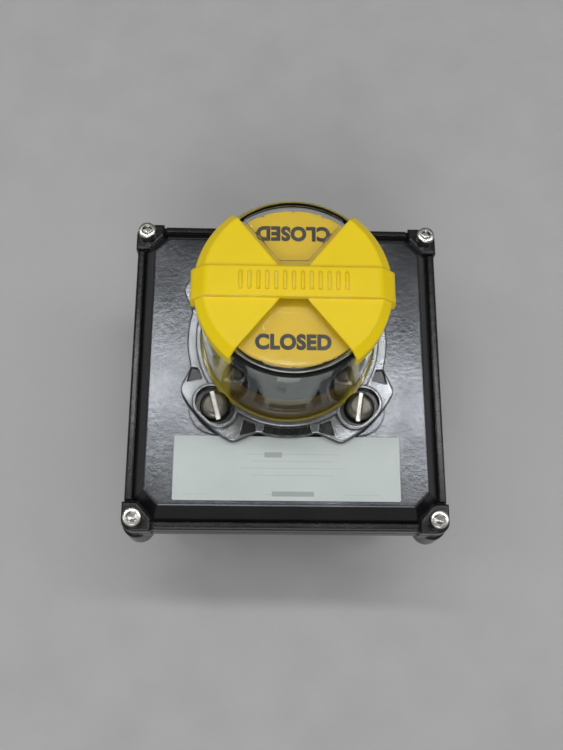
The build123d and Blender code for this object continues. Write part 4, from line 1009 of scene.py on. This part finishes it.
class SWITCHBOX_OT_stage(bpy.types.Operator):
    """Pale floor, soft lamps and the camera"""
    bl_idname = "switchbox.stage"
    bl_label = "Stage"

    def execute(self, context):
        stage = settings().stage
        scene = context.scene
        half = 2.5
        floor = mesh_object("floor", [(-half, -half, 0), (half, -half, 0), (half, half, 0),
                                      (-half, half, 0)], [(0, 1, 2, 3)], smooth=False)
        floor.data.materials.append(finish_material(
            "floor_paint", tuple(stage.floor), 0.42, bump=0.00001, grain=900.0, wave=30.0,
            tone=0.03, wear=0.0))
        aim = Vector((0.0, 0.0, 0.08))
        # Name, place, width, height and share of the key radiance of each lamp.
        for name, place, wide, tall, share in (
                ("ceiling_tube", (0.15, 1.75, 6.0), 7.0, 0.36, 1.0),
                ("front_panel", (-0.5, -5.0, 5.0), 4.0, 2.5, 0.34),
                ("left_panel", (-1.3, -0.05, 1.5), 0.5, 0.9, 0.18),
                ("right_panel", (1.3, 0.15, 1.5), 0.5, 0.9, 0.15)):
            lamp = bpy.data.lights.new(name, "AREA")
            lamp.shape = "RECTANGLE"
            lamp.size, lamp.size_y = wide, tall
            lamp.energy = stage.key * share * wide * tall * pi
            made = new_object(name, lamp)
            made.location = place
            made.rotation_mode = "QUATERNION"
            made.rotation_quaternion = (aim - Vector(place)).to_track_quat("-Z", "Y")
        world = bpy.data.worlds.new("room")
        scene.world = world
        world.use_nodes = True
        tree = world.node_tree
        tree.nodes.clear()
        way = node(tree, "ShaderNodeSeparateXYZ",
                   {0: node(tree, "ShaderNodeTexCoord").outputs["Generated"]}).outputs
        # The room dims towards +Y and the horizon; the camera itself sees one pale shade.
        shade = blend_colour(tree, ramp(tree, way["Z"], 0.35, 0.8), (0.60, 0.61, 0.62, 1.0),
                             (1.0, 1.0, 0.985, 1.0))
        room = maths(tree, "MULTIPLY", ramp(tree, way["Y"], -0.1, 0.45, 1.12, 0.42), stage.sky)
        seen = node(tree, "ShaderNodeLightPath").outputs["Is Camera Ray"]
        shade = blend_colour(tree, seen, shade, rgba(stage.floor, 1.25))
        strength = maths(tree, "MAXIMUM", room, seen)
        sky = node(tree, "ShaderNodeBackground", {"Color": shade, "Strength": strength})
        out = node(tree, "ShaderNodeOutputWorld")
        wire(tree, sky.outputs[0], out.inputs["Surface"])

        lens = bpy.data.cameras.new("camera")
        lens.lens = stage.focal
        lens.sensor_width = 36.0
        lens.clip_start, lens.clip_end = 0.01, 20.0
        camera = new_object("camera", lens)
        axes = Matrix(CAMERA_AXES).transposed().to_4x4()
        camera.matrix_world = Matrix.Translation(CAMERA_PLACE) @ axes
        scene.camera = camera
        scene.view_settings.view_transform = "Standard"
        return {"FINISHED"}


OPERATORS = (SWITCHBOX_OT_case, SWITCHBOX_OT_cover_screws, SWITCHBOX_OT_nameplate,
             SWITCHBOX_OT_flange, SWITCHBOX_OT_beacon, SWITCHBOX_OT_indicator,
             SWITCHBOX_OT_conduit_threads, SWITCHBOX_OT_works, SWITCHBOX_OT_stage)


class SWITCHBOX_PT_panel(bpy.types.Panel):
    """Settings and steps of the switch box"""
    bl_idname = "SWITCHBOX_PT_panel"
    bl_label = "Switch Box"
    bl_space_type = "VIEW_3D"
    bl_region_type = "UI"
    bl_category = "Switch Box"

    def draw(self, context):
        for group in (settings().finish, settings().sizes, settings().stage):
            column = self.layout.column(align=True)
            for name in group.__annotations__:
                column.prop(group, name)
        for operator in OPERATORS:
            self.layout.operator(operator.bl_idname)


CLASSES = (SWITCHBOX_PG_finish, SWITCHBOX_PG_sizes, SWITCHBOX_PG_stage, SWITCHBOX_PG_settings,
           *OPERATORS, SWITCHBOX_PT_panel)


def register():
    for made in CLASSES:
        bpy.utils.register_class(made)
    bpy.types.Scene.switch_box = PointerProperty(type=SWITCHBOX_PG_settings)


def unregister():
    del bpy.types.Scene.switch_box
    for made in reversed(CLASSES):
        bpy.utils.unregister_class(made)


def main():
    register()
    for operator in OPERATORS:
        group, name = operator.bl_idname.split(".")
        getattr(getattr(bpy.ops, group), name)()


if __name__ == "__main__":
    main()
